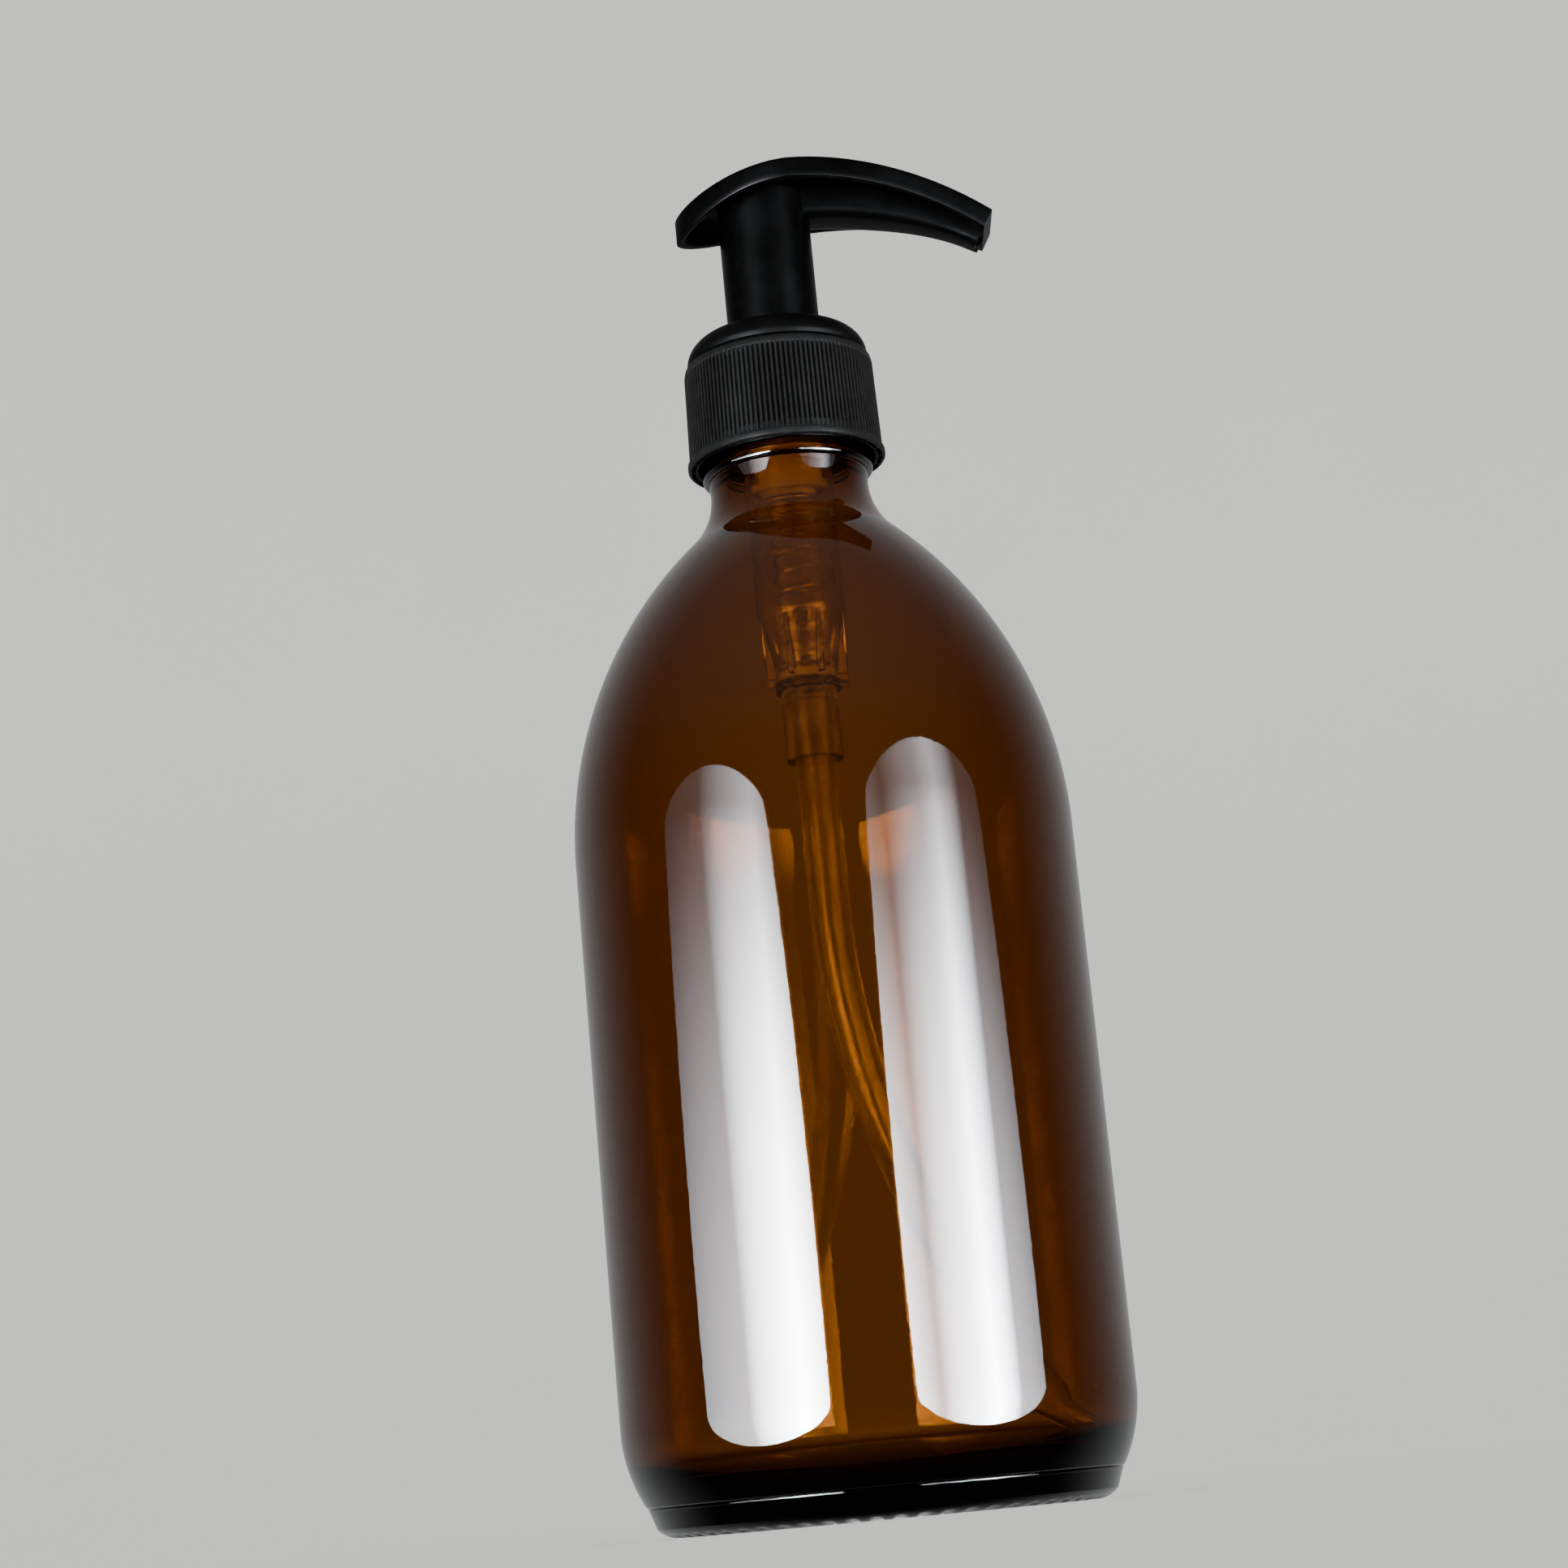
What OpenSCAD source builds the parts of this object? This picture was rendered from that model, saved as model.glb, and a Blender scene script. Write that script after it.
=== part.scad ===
// Soap pump dispenser: an amber glass bottle with a screw-on lotion pump.
// Millimetres. +Z is up, the origin is the centre of the base, and the spout points along +X.

/* [Bottle] */
// Height of the glass, from the surface it stands on to the mouth
bottle_h = 176; // [146:0.2:212]
// Outer diameter of the straight part of the body
body_d = 76.6; // [63:0.1:92]
// Radius of the arc that forms the shoulder
shoulder_arc = 66; // [55:0.5:80]
// Radius of the hollow blend between shoulder and neck
neck_blend = 12; // [10:0.5:15]
// Outer diameter of the neck under its thread
neck_d = 25; // [24.6:0.1:30]
// Straight length of neck, from the blend up to the mouth
neck_straight = 17; // [16.6:0.1:20]
// Thickness of the glass wall
glass_wall = 2.6; // [2.2:0.05:2.8]
// Thickness of the glass floor, from the standing plane to the inside
glass_floor = 6.5; // [5:0.1:8]
// Height over which the body pulls in towards the heel
heel_h = 16; // [14:0.5:20]
// Radius of that gentle pull-in
heel_arc = 23; // [20:0.5:40]
// Radius of the corner between heel and standing plane
heel_corner = 4.2; // [3.5:0.1:5]
// Radius of the corner inside, between wall and floor
floor_corner = 7; // [5:0.5:9]
// Height of the hollow under the base
push_up = 2.6; // [1.5:0.1:3.5]
// Width of the ring that the bottle stands on
bearing_w = 4; // [2.5:0.5:6]
// Number of knurls pressed into the standing ring
knurl_count = 60; // [36:1:90]

/* [Neck thread] */
// Rise of the screw thread in one turn
thread_pitch = 4.23; // [3.8:0.01:4.6]
// Turns of thread on the glass and inside the collar
thread_turns = 1.25; // [1:0.05:1.4]
// Height that the glass thread stands out from the neck
thread_h = 1.2; // [1:0.05:1.3]
// Distance from the mouth down to the highest point of the glass thread
thread_start = 2.6; // [2.2:0.1:3.2]
// Distance that the carrying bead under the thread stands out from the neck
bead_h = 1; // [0.6:0.1:1.2]

/* [Collar] */
// Thickness of the collar's skirt, from its bore out to the tops of the ribs
collar_wall = 1.2; // [1.1:0.05:1.8]
// Height of the collar from its rim to its flat top
collar_h = 21.7; // [20.5:0.1:24]
// Distance from the rim up to the shelf that presses on the pump's flange
collar_shelf = 15.2; // [14.6:0.1:16]
// Number of grip ribs
rib_count = 120; // [80:2:130]
// Depth of the grooves between the ribs
rib_depth = 0.35; // [0.2:0.05:0.45]
// Number of webs across the groove in the rim
web_count = 24; // [12:1:30]
// Thickness of the collar's flat top
collar_top_t = 1.2; // [1:0.1:1.6]

/* [Pump] */
// Travel of the pump from rest to fully pressed
stroke = 14; // [10:0.1:16.8]
// Thickness of the sealing gasket on the mouth
gasket_t = 1; // [0.8:0.1:1.2]
// Thickness of the flange that hangs the pump in the neck
flange_t = 1.4; // [1.2:0.1:1.8]
// Length of the wide cup at the top of the pump housing, below its flange
cup_l = 12.6; // [12.4:0.1:15]
// Inner diameter of the pump cylinder
cylinder_d = 12; // [10:0.1:14.4]
// Wall of the moulded pump parts
pump_wall = 1; // [0.8:0.05:1.1]
// Length of the pump cylinder, from the cup's floor to the start of its funnel
cylinder_l = 26.2; // [25:0.1:40]
// Length of the funnel under the cylinder
funnel_l = 8.5; // [7:0.1:11]
// Length of the tail that grips the dip tube
tail_l = 14.7; // [13:0.1:18]
// Outer diameter of the hollow stem
stem_d = 6.8; // [6.4:0.1:7]
// Radius of the passage through the stem
stem_bore = 1.2; // [1:0.05:1.3]
// Length of the piston
piston_l = 7; // [6:0.1:8]
// Radius of the inlet ball
inlet_ball_r = 2; // [1.8:0.05:2.1]
// Radius of the outlet ball
outlet_ball_r = 1.9; // [1.75:0.05:1.95]
// Lift of the two balls off their seats
ball_lift = 1.2; // [0.8:0.1:1.4]

/* [Spring] */
// Radius from the axis to the middle of the spring wire
coil_r = 3.55; // [3.5:0.05:3.6]
// Diameter of the spring wire
wire_d = 0.85; // [0.7:0.05:0.9]
// Open turns of the spring
open_turns = 8; // [6:1:9]
// Closed turns at each end of the spring
closed_turns = 1; // [1:1:2]

/* [Dip tube] */
// Outer diameter of the dip tube
dip_d = 6.25; // [5.5:0.05:6.4]
// Inner diameter of the dip tube
dip_bore = 4; // [3.2:0.1:4.4]
// Length of tube pushed up into the pump's tail
dip_grip = 9.2; // [7:0.1:11]
// Length of straight tube between the pump's tail and the tube's bend
dip_straight = 21.6; // [12:0.1:30]
// Length of straight tube between its bend and its open end
dip_last_l = 10.7; // [5:0.1:25]
// Distance from the glass floor up to the lowest point of the tube's open end
dip_foot_gap = 0.5; // [0.3:0.05:4]
// Distance from the glass wall in to the lowest point of the tube's open end
dip_wall_gap = 8.26; // [7.4:0.02:14]

/* [Head] */
// Distance from the axis back to the head's tail
head_back = 14.3; // [13:0.1:16]
// Distance from the axis out to the top of the spout's end
head_front = 36.7; // [32:0.1:38]
// Widest half-width of the head
head_half_w = 12.4; // [11.5:0.1:14]
// Half-width of the shell at the end of the spout
tip_half_w = 4.8; // [4.2:0.1:6]
// Distance from the axis out to the head's widest and highest place
head_mid = 4; // [2:0.5:6]
// Height of the crown above the collar's flat top
crown_rise = 25.4; // [25:0.1:27]
// Radius of the crown's arc, seen from the side
crown_arc = 56; // [50:0.5:70]
// Radius of the arc of the skirt's lower edge
rim_arc = 52; // [48:0.5:58]
// Depth of the skirt at the crown
skirt_h = 3.5; // [2.8:0.1:4.5]
// Thickness of the head's top
head_top_t = 1.5; // [1.2:0.1:2]
// Thickness of the head's skirt
skirt_t = 1.3; // [1:0.1:1.6]
// Depth of the spout's duct below the crown
duct_depth = 6.8; // [6.4:0.1:7.6]
// Half-width of the duct where it leaves the sleeve
duct_half_w = 3.8; // [3.2:0.1:4.2]
// Half-width of the duct at the end of the spout
nozzle_half_w = 2.7; // [2.5:0.1:3.4]
// Radius of the passage through the duct
duct_bore = 1.6; // [1.4:0.05:1.7]
// Lean of the spout's end face from vertical, in degrees
tip_lean = 31; // [20:0.5:34]
// Outer diameter of the sleeve that covers the stem
sleeve_d = 14.7; // [14:0.1:14.8]
// Wall of the sleeve
sleeve_wall = 1.15; // [1:0.05:1.3]

/* [Fits] */
// Gap all round between pieces that slide or turn past each other
slide_gap = 0.35; // [0.3:0.01:0.4]
// Running clearance of the stem, piston and ball faces
run_gap = 0.05; // [0.02:0.01:0.08]
// Gap along the axis that keeps stops from rubbing
stop_gap = 0.3; // [0.2:0.05:0.4]

/* [Hidden] */
$fn = 96;

// Bottle outline
body_r = body_d / 2;
neck_r = neck_d / 2;
shoulder_cx = body_r - shoulder_arc;
blend_cx = neck_r + neck_blend;
blend_z = bottle_h - neck_straight;
blend_dx = blend_cx - shoulder_cx;
blend_dz = sqrt(pow(shoulder_arc + neck_blend, 2) - pow(blend_dx, 2));
shoulder_z = blend_z - blend_dz;
join_share = shoulder_arc / (shoulder_arc + neck_blend);
join_slope = blend_dx / (shoulder_arc + neck_blend);
join_z = shoulder_z + blend_dz * join_share;
neck_bore_r = neck_r - glass_wall;
heel_cx = body_r - heel_arc;
heel_r = heel_cx + sqrt(pow(heel_arc, 2) - pow(heel_h - heel_corner, 2));
corner_cx = heel_r - heel_corner;
lip_round = 0.9;
bead_z = blend_z + 2.5;
bead_round = 1.3;
knurl_r = 0.7;
knurl_fn = 24;
fine_fn = 360;
corner_fn = 64;
overlap = 0.01;

// Neck thread
thread_bury = 0.15;
crest_r = neck_r + thread_h;
thread_top = bottle_h - thread_start;
thread_base_w = 2.2;
thread_crest_w = 1;
thread_root = 0.4;
thread_step = 10;
thread_fade = 40;

// Pump stack, from the mouth down
gasket_top_z = bottle_h + gasket_t;
flange_top_z = gasket_top_z + flange_t;
flange_r = crest_r - 0.5;
cup_r = neck_bore_r - slide_gap - 0.25;
cup_bore_r = cup_r - pump_wall * 0.8;
cup_floor_z = flange_top_z - cup_l;
cylinder_r = cylinder_d / 2;
barrel_r = cylinder_r + pump_wall;
step_z = cup_floor_z - 1.5 * pump_wall;
funnel_z = step_z - cylinder_l;
foot_z = funnel_z - funnel_l;
tail_z = foot_z - tail_l;
dip_r = dip_d / 2;
dip_top_z = tail_z + dip_grip;
spring_bore_r = coil_r + wire_d / 2 + 0.4;
funnel_end_r = spring_bore_r + pump_wall * 0.8;
tail_r = dip_r + pump_wall * 1.3;
seat_hole_r = inlet_ball_r * 0.6;
seat_h = 1.5;
seat_drop = 2.2;
seat_z = foot_z - seat_drop - seat_h;
seat_top_z = seat_z + seat_h;
inlet_ball_z = seat_z - seat_hole_r + (inlet_ball_r + run_gap) * sqrt(2);
fin_count = 8;
fin_w = 0.8;
fin_inset = 0.2;
funnel_lip = 2;
tail_stop_w = 0.6;

// Collar
collar_bore_r = crest_r + slide_gap;
collar_r = collar_bore_r + collar_wall;
collar_rim_z = flange_top_z + run_gap - collar_shelf;
collar_top_z = collar_rim_z + collar_h;
collar_lip = 0.45;
collar_lip_h = 1;
rib_foot = 1.6;
rib_edges = [0, 0.32, 0.5, 0.82];
rib_l = collar_shelf - rib_foot + 0.3;
collar_step_in = 0.85;
ledge_round = 1;
ledge_inset = 0.1;
ledge_h = 0.6;
collar_crown_r = 4.2;
collar_hollow_r = 11.6;
collar_hole_r = sleeve_d / 2 + slide_gap + 0.05;
groove_w = 0.55;
groove_d = 2.4;
groove_r = collar_bore_r + 0.55;
web_w = 0.6;
inner_thread_base_w = 1.5;
inner_thread_crest_w = 0.7;
inner_thread_bury = 0.3;

// Ball cage
cage_bore_r = inlet_ball_r + 0.25;
cage_r = coil_r - wire_d / 2 - 0.15;
cage_foot_t = 1.3;
cage_roof_z = inlet_ball_z + inlet_ball_r + ball_lift + stop_gap;
cage_roof_t = 0.9;
cage_slot_w = 1.5;
cage_vent_r = 1;

// Chaplet
chaplet_bore_r = sleeve_d / 2 + slide_gap;
chaplet_floor_t = 1.6;
guide_wall = 1.2;
chaplet_top_z = collar_top_z - collar_top_t - stop_gap;
guide_top_z = cup_floor_z + 5;
chaplet_rim_r = collar_hollow_r - slide_gap;
chaplet_rim_t = 1;

// Arcs of the head, seen from the side
head_round_x = head_mid + 2;
crown_z = collar_top_z + crown_rise;
crown_cz = crown_z - crown_arc;
rim_cz = crown_z - skirt_h - rim_arc;
duct_arc = crown_arc - duct_depth;
bore_arc = duct_arc + duct_bore + 0.9;
bore_z = crown_cz + sqrt(pow(bore_arc, 2) - pow(head_round_x, 2));
tip_z = crown_cz + sqrt(pow(crown_arc, 2) - pow(head_front - head_round_x, 2));

// Stem and piston
stem_r = stem_d / 2;
stem_ring_t = 1.4;
stem_ring_w = 1.2;
stem_ring_r = stem_r + stem_ring_w;
stem_ring_z = cup_floor_z - stop_gap - stem_ring_t;
piston_top_z = stem_ring_z - run_gap;
piston_z = piston_top_z - piston_l;
piston_lip_h = 1.5;
piston_waist = 0.7;
lip_flex_out = 0.2;
lip_flex_in = 0.8;
lip_flex_root = 0.3;
stem_z = piston_z - run_gap;
retainer_t = 1;
retainer_z = stem_z - retainer_t;
retainer_plug_l = 4;
plug_wall = 0.8;
plug_r = stem_bore + plug_wall;
retainer_lip = 0.25;
port_r = 0.8;
stem_top_z = bore_z - duct_bore - 0.4;
outlet_seat_z = stem_top_z - 5;
outlet_bore_r = outlet_ball_r + 0.4;
outlet_ball_z = outlet_seat_z - stem_bore + (outlet_ball_r + run_gap) * sqrt(2);

// Head
sleeve_r = sleeve_d / 2;
sleeve_bore_r = sleeve_r - sleeve_wall;
sleeve_z = cup_floor_z + chaplet_floor_t + stop_gap + stroke;
socket_wall = 1.3;
socket_r = stem_r + socket_wall;
spout_lip = 2.6;
tail_bow = 1.7;
tail_round = 1.5;
spout_bow = 1.32;
tail_stations = 14;
spout_stations = 12;
socket_z = guide_top_z + stop_gap + stroke;

// Spring
spring_z = seat_top_z + cage_foot_t + wire_d / 2;
spring_top_z = retainer_z - wire_d / 2 - 0.02;
spring_sides = 8;
spring_steps = 12;

// Dip tube: straight, then an arc, then straight to its open end
// The side of the tube that ends lowest fixes the lean, and the bend follows from it
bend_z = tail_z - dip_straight;
foot_x = body_r - glass_wall - dip_wall_gap;
foot_drop = bend_z - glass_floor - dip_foot_gap;
dip_lean = 2 * atan((foot_x + dip_r) / (foot_drop + dip_last_l));
bend_side = (foot_x + dip_r) / sin(dip_lean) - dip_last_l;
dip_bend = bend_side / tan(dip_lean / 2) - dip_r;
dip_reach = foot_x + dip_r * cos(dip_lean);
dip_end_z = glass_floor + dip_foot_gap + dip_r * sin(dip_lean);
dip_arc_steps = 18;
dip_sides = 20;

// Half-width of the head's outline at x, drawn in by an inset
function tail_share(x, inset) = (head_mid - x) / (head_mid + head_back - inset);
function spout_share(x) = (x - head_mid) / (head_front - head_mid);
function half_w(x, inset) = x < head_mid
    ? (head_half_w - inset) * pow(max(0, 1 - pow(tail_share(x, inset), tail_bow)), 1 / tail_round)
    : head_half_w - inset - (head_half_w - tip_half_w) * pow(spout_share(x), spout_bow);

module head_outline(inset, front) {
    back_x = -head_back + inset;
    // Stations crowd towards the tail, where the outline turns
    tail_xs = [for (i = [0:tail_stations]) back_x + (head_mid - back_x) * pow(i / tail_stations, 2)];
    spout_xs = [for (i = [1:spout_stations]) head_mid + (front - head_mid) * i / spout_stations];
    xs = concat(tail_xs, spout_xs);
    last = len(xs) - 1;
    polygon(concat(
        [for (i = [0:last]) [xs[i], -half_w(xs[i], inset)]],
        [for (i = [last:-1:1]) [xs[i], half_w(xs[i], inset)]]));
}

// Shoulder and neck blend of the glass as it is turned, thinned by a wall for the inside
module glass_shoulder(wall) {
    join_in_r = shoulder_cx + (shoulder_arc - wall) * join_slope;
    intersection() {
        translate([shoulder_cx, shoulder_z])
            circle(r = shoulder_arc - wall, $fn = fine_fn);
        translate([0, shoulder_z - overlap])
            square([body_r, join_z - shoulder_z + 2 * overlap]);
    }
    difference() {
        translate([0, join_z])
            square([join_in_r, blend_z - join_z]);
        translate([blend_cx, blend_z])
            circle(r = neck_blend + wall, $fn = fine_fn / 2);
    }
}

module glass_outside() {
    glass_shoulder(0);
    translate([0, heel_h])
        square([body_r, shoulder_z - heel_h]);
    intersection() {
        translate([heel_cx, heel_h])
            circle(r = heel_arc, $fn = fine_fn / 2);
        translate([0, heel_corner])
            square([body_r, heel_h - heel_corner]);
    }
    translate([corner_cx, heel_corner])
        circle(r = heel_corner, $fn = corner_fn);
    square([corner_cx, heel_corner]);
    translate([0, join_z])
        square([neck_r, bottle_h - join_z - lip_round]);
    translate([0, bottle_h - lip_round])
        square([neck_r - lip_round, lip_round]);
    translate([neck_r - lip_round, bottle_h - lip_round])
        circle(r = lip_round, $fn = corner_fn / 2);
    translate([neck_r + bead_h - bead_round, bead_z])
        circle(r = bead_round, $fn = corner_fn / 2);
}

module glass_inside() {
    floor_r = body_r - glass_wall - floor_corner;
    glass_shoulder(glass_wall);
    translate([0, glass_floor + floor_corner])
        square([body_r - glass_wall, shoulder_z - glass_floor - floor_corner]);
    translate([0, glass_floor])
        square([floor_r, floor_corner]);
    intersection() {
        translate([floor_r, glass_floor + floor_corner])
            circle(r = floor_corner, $fn = corner_fn);
        translate([0, glass_floor])
            square([body_r, floor_corner + overlap]);
    }
    translate([0, join_z])
        square([neck_bore_r, bottle_h - join_z + 1]);
}

// One screw thread as a swept strip; base_r is buried in the wall and tip_r stands free
module thread(base_r, tip_r, bury_r, base_w, tip_w, top_z, turns) {
    n = floor(turns * 360 / thread_step);
    fade_n = thread_fade / thread_step;
    function tip_at(i) = bury_r + (tip_r - bury_r) * min(1, i / fade_n, (n - i) / fade_n);
    points = [for (i = [0:n]) let (
            a = -i * thread_step,
            z = top_z + thread_pitch * a / 360,
            t = tip_at(i),
            w = base_w + (tip_w - base_w) * abs(t - base_r) / abs(tip_r - base_r))
        each [
            [base_r * cos(a), base_r * sin(a), z - base_w / 2],
            [t * cos(a), t * sin(a), z - w / 2],
            [t * cos(a), t * sin(a), z + w / 2],
            [base_r * cos(a), base_r * sin(a), z + base_w / 2]]];
    inward = tip_r < base_r;
    strip = [for (i = [0:n - 1], k = [0:3]) let (a = 4 * i + k, b = 4 * i + (k + 1) % 4)
        each [[a, a + 4, b], [b, a + 4, b + 4]]];
    caps = [[0, 1, 2], [0, 2, 3], [4 * n, 4 * n + 2, 4 * n + 1], [4 * n, 4 * n + 3, 4 * n + 2]];
    faces = concat(strip, caps);
    polyhedron(points, inward ? [for (f = faces) [f[0], f[2], f[1]]] : faces, convexity = 8);
}

module tube(r_out, r_in, z_low, z_high) {
    translate([0, 0, z_low])
        difference() {
            cylinder(r = r_out, h = z_high - z_low);
            translate([0, 0, -1])
                cylinder(r = r_in, h = z_high - z_low + 2);
        }
}

module bottle() {
    hollow_under = (pow(corner_cx - bearing_w, 2) + pow(push_up, 2)) / (2 * push_up);
    color([0.33, 0.17, 0.03, 0.6])
        difference() {
            union() {
                rotate_extrude()
                    difference() {
                        intersection() {
                            glass_outside();
                            square([body_r + 1, bottle_h]);
                        }
                        glass_inside();
                    }
                thread(neck_r - thread_root, crest_r, neck_r - thread_bury, thread_base_w, thread_crest_w,
                    thread_top, thread_turns);
            }
            translate([0, 0, push_up - hollow_under])
                sphere(r = hollow_under, $fn = fine_fn);
            for (i = [0:knurl_count - 1])
                rotate([0, 0, i * 360 / knurl_count])
                    translate([corner_cx - bearing_w - 0.5, 0, -knurl_r * 0.55])
                        rotate([0, 90, 0])
                            cylinder(r = knurl_r, h = bearing_w + 1.5, $fn = knurl_fn);
        }
}

module rib_band() {
    pitch = 360 / rib_count;
    root_r = collar_r - rib_depth;
    rib_rs = [root_r, root_r, collar_r, collar_r];
    difference() {
        translate([0, 0, collar_rim_z + rib_foot])
            linear_extrude(height = rib_l)
                polygon([for (i = [0:rib_count - 1], k = [0:3])
                    let (a = (i + rib_edges[k]) * pitch)
                    [rib_rs[k] * cos(a), rib_rs[k] * sin(a)]]);
        translate([0, 0, collar_rim_z])
            cylinder(r = collar_bore_r + inner_thread_bury, h = collar_h);
    }
}

module collar() {
    shell_r = collar_r - rib_depth - 0.05;
    ledge_z = collar_rim_z + rib_foot + rib_l;
    neck_in_r = collar_r - collar_step_in;
    color([0.03, 0.03, 0.032])
        difference() {
            union() {
                rotate_extrude()
                    difference() {
                        union() {
                            translate([0, collar_rim_z])
                                square([collar_r + collar_lip, collar_lip_h]);
                            translate([0, collar_rim_z])
                                square([shell_r, rib_foot + rib_l]);
                            // Smooth shoulder above the ribs, then the stepped-in crown
                            translate([0, ledge_z])
                                square([collar_r - ledge_inset, ledge_h]);
                            translate([collar_r - ledge_inset - ledge_round, ledge_z + ledge_h])
                                circle(r = ledge_round, $fn = corner_fn);
                            translate([0, ledge_z])
                                square([collar_r - ledge_inset - ledge_round, ledge_h + ledge_round]);
                            translate([0, ledge_z])
                                square([neck_in_r, collar_top_z - collar_crown_r - ledge_z]);
                            translate([neck_in_r - collar_crown_r, collar_top_z - collar_crown_r])
                                circle(r = collar_crown_r, $fn = corner_fn);
                            translate([0, collar_top_z - collar_crown_r])
                                square([neck_in_r - collar_crown_r, collar_crown_r]);
                        }
                        translate([0, collar_rim_z - 1])
                            square([collar_bore_r, collar_shelf + 1]);
                        translate([0, collar_rim_z])
                            square([collar_hollow_r, collar_h - collar_top_t]);
                        translate([0, collar_rim_z])
                            square([collar_hole_r, collar_h + 1]);
                    }
                rib_band();
            }
            // Groove in the rim, left whole where the webs cross it
            difference() {
                tube(groove_r + groove_w, groove_r, collar_rim_z - 1, collar_rim_z + groove_d);
                for (i = [0:web_count - 1])
                    rotate([0, 0, i * 360 / web_count])
                        translate([groove_r - 1, -web_w / 2, collar_rim_z - 2])
                            cube([groove_w + 2, web_w, groove_d + 3]);
            }
        }
    color([0.03, 0.03, 0.032])
        thread(collar_bore_r + inner_thread_bury, neck_r + slide_gap, collar_bore_r + inner_thread_bury / 3,
            inner_thread_base_w, inner_thread_crest_w, thread_top - thread_pitch / 2 + slide_gap,
            thread_turns);
}

module neck_gasket() {
    color([0.86, 0.86, 0.84])
        tube(crest_r - 0.7, neck_bore_r + 0.1, bottle_h, gasket_top_z);
}

module pump_housing() {
    color([0.92, 0.92, 0.9, 0.7])
        difference() {
            union() {
                rotate_extrude()
                    union() {
                        translate([0, gasket_top_z])
                            square([flange_r, flange_t]);
                        translate([0, step_z])
                            square([cup_r, flange_top_z - step_z]);
                        translate([0, funnel_z])
                            square([barrel_r, step_z - funnel_z + 1]);
                        polygon([[0, foot_z], [funnel_end_r, foot_z], [barrel_r, funnel_z], [0, funnel_z]]);
                        translate([0, seat_z])
                            square([funnel_end_r, foot_z - seat_z]);
                        translate([0, tail_z])
                            square([tail_r, foot_z - tail_z]);
                    }
                for (i = [0:fin_count - 1])
                    rotate([0, 0, (i + 0.5) * 360 / fin_count])
                        translate([0, -fin_w / 2, foot_z - funnel_lip])
                            cube([barrel_r - fin_inset, fin_w, funnel_l + funnel_lip]);
            }
            rotate_extrude()
                union() {
                    translate([0, cup_floor_z])
                        square([cup_bore_r, cup_l + 1]);
                    translate([0, funnel_z])
                        square([cylinder_r, cup_floor_z - funnel_z + 1]);
                    polygon([[0, foot_z + funnel_lip], [spring_bore_r, foot_z + funnel_lip],
                        [cylinder_r, funnel_z], [0, funnel_z]]);
                    translate([0, seat_top_z])
                        square([spring_bore_r, foot_z + funnel_lip - seat_top_z]);
                    polygon([[0, seat_z - overlap], [seat_hole_r, seat_z - overlap], [seat_hole_r, seat_z],
                        [seat_hole_r + seat_h, seat_top_z], [0, seat_top_z]]);
                    translate([0, dip_top_z])
                        square([dip_r - tail_stop_w, seat_z - dip_top_z]);
                    translate([0, tail_z - 1])
                        square([dip_r, dip_grip + 1]);
                }
        }
}

module chaplet() {
    wall_r = cup_bore_r;
    color([0.05, 0.05, 0.052])
        difference() {
            rotate_extrude()
                difference() {
                    union() {
                        translate([0, cup_floor_z])
                            square([wall_r, chaplet_top_z - cup_floor_z]);
                        translate([0, flange_top_z])
                            square([chaplet_rim_r, chaplet_rim_t]);
                    }
                    difference() {
                        translate([0, cup_floor_z + chaplet_floor_t])
                            square([chaplet_bore_r, collar_h]);
                        translate([0, cup_floor_z])
                            square([stem_r + guide_wall, guide_top_z - cup_floor_z]);
                    }
                }
            translate([0, 0, cup_floor_z - 1])
                cylinder(r = stem_r + run_gap, h = collar_h);
        }
}

module stem() {
    color([0.9, 0.9, 0.88, 0.8])
        difference() {
            union() {
                translate([0, 0, stem_z])
                    cylinder(r = stem_r, h = stem_top_z - stem_z);
                translate([0, 0, stem_ring_z])
                    cylinder(r = stem_ring_r, h = stem_ring_t);
            }
            translate([0, 0, stem_z - 1])
                cylinder(r = stem_bore, h = stem_top_z - stem_z + 2);
            // Wider foot of the passage takes the retainer's plug
            translate([0, 0, stem_z - 1])
                cylinder(r = plug_r, h = retainer_plug_l + 1);
            // Seat and chamber of the outlet ball
            translate([0, 0, outlet_seat_z])
                cylinder(r1 = stem_bore, r2 = outlet_bore_r, h = outlet_bore_r - stem_bore);
            translate([0, 0, outlet_seat_z + outlet_bore_r - stem_bore])
                cylinder(r = outlet_bore_r, h = stem_top_z - outlet_seat_z);
            // Cross port that lets soap in above the retainer
            translate([0, 0, stem_z + retainer_plug_l + port_r])
                rotate([90, 0, 0])
                    cylinder(r = port_r, h = 3 * stem_r, center = true, $fn = 32);
        }
}

module piston() {
    lip_r = cylinder_r - run_gap;
    waist_r = lip_r - piston_waist;
    color([0.85, 0.85, 0.86])
        rotate_extrude()
            difference() {
                union() {
                    translate([0, piston_z])
                        square([waist_r, piston_l]);
                    translate([0, piston_z])
                        square([lip_r, piston_lip_h]);
                    translate([0, piston_top_z - piston_lip_h])
                        square([lip_r, piston_lip_h]);
                }
                translate([0, piston_z - 1])
                    square([stem_r + run_gap, piston_l + 2]);
                // Grooves that let the two lips flex
                polygon([[waist_r - lip_flex_in, piston_z - 1],
                    [waist_r + lip_flex_out, piston_z - 1],
                    [waist_r - lip_flex_root, piston_z + piston_lip_h]]);
                polygon([[waist_r - lip_flex_in, piston_top_z + 1],
                    [waist_r + lip_flex_out, piston_top_z + 1],
                    [waist_r - lip_flex_root, piston_top_z - piston_lip_h]]);
            }
}

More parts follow.
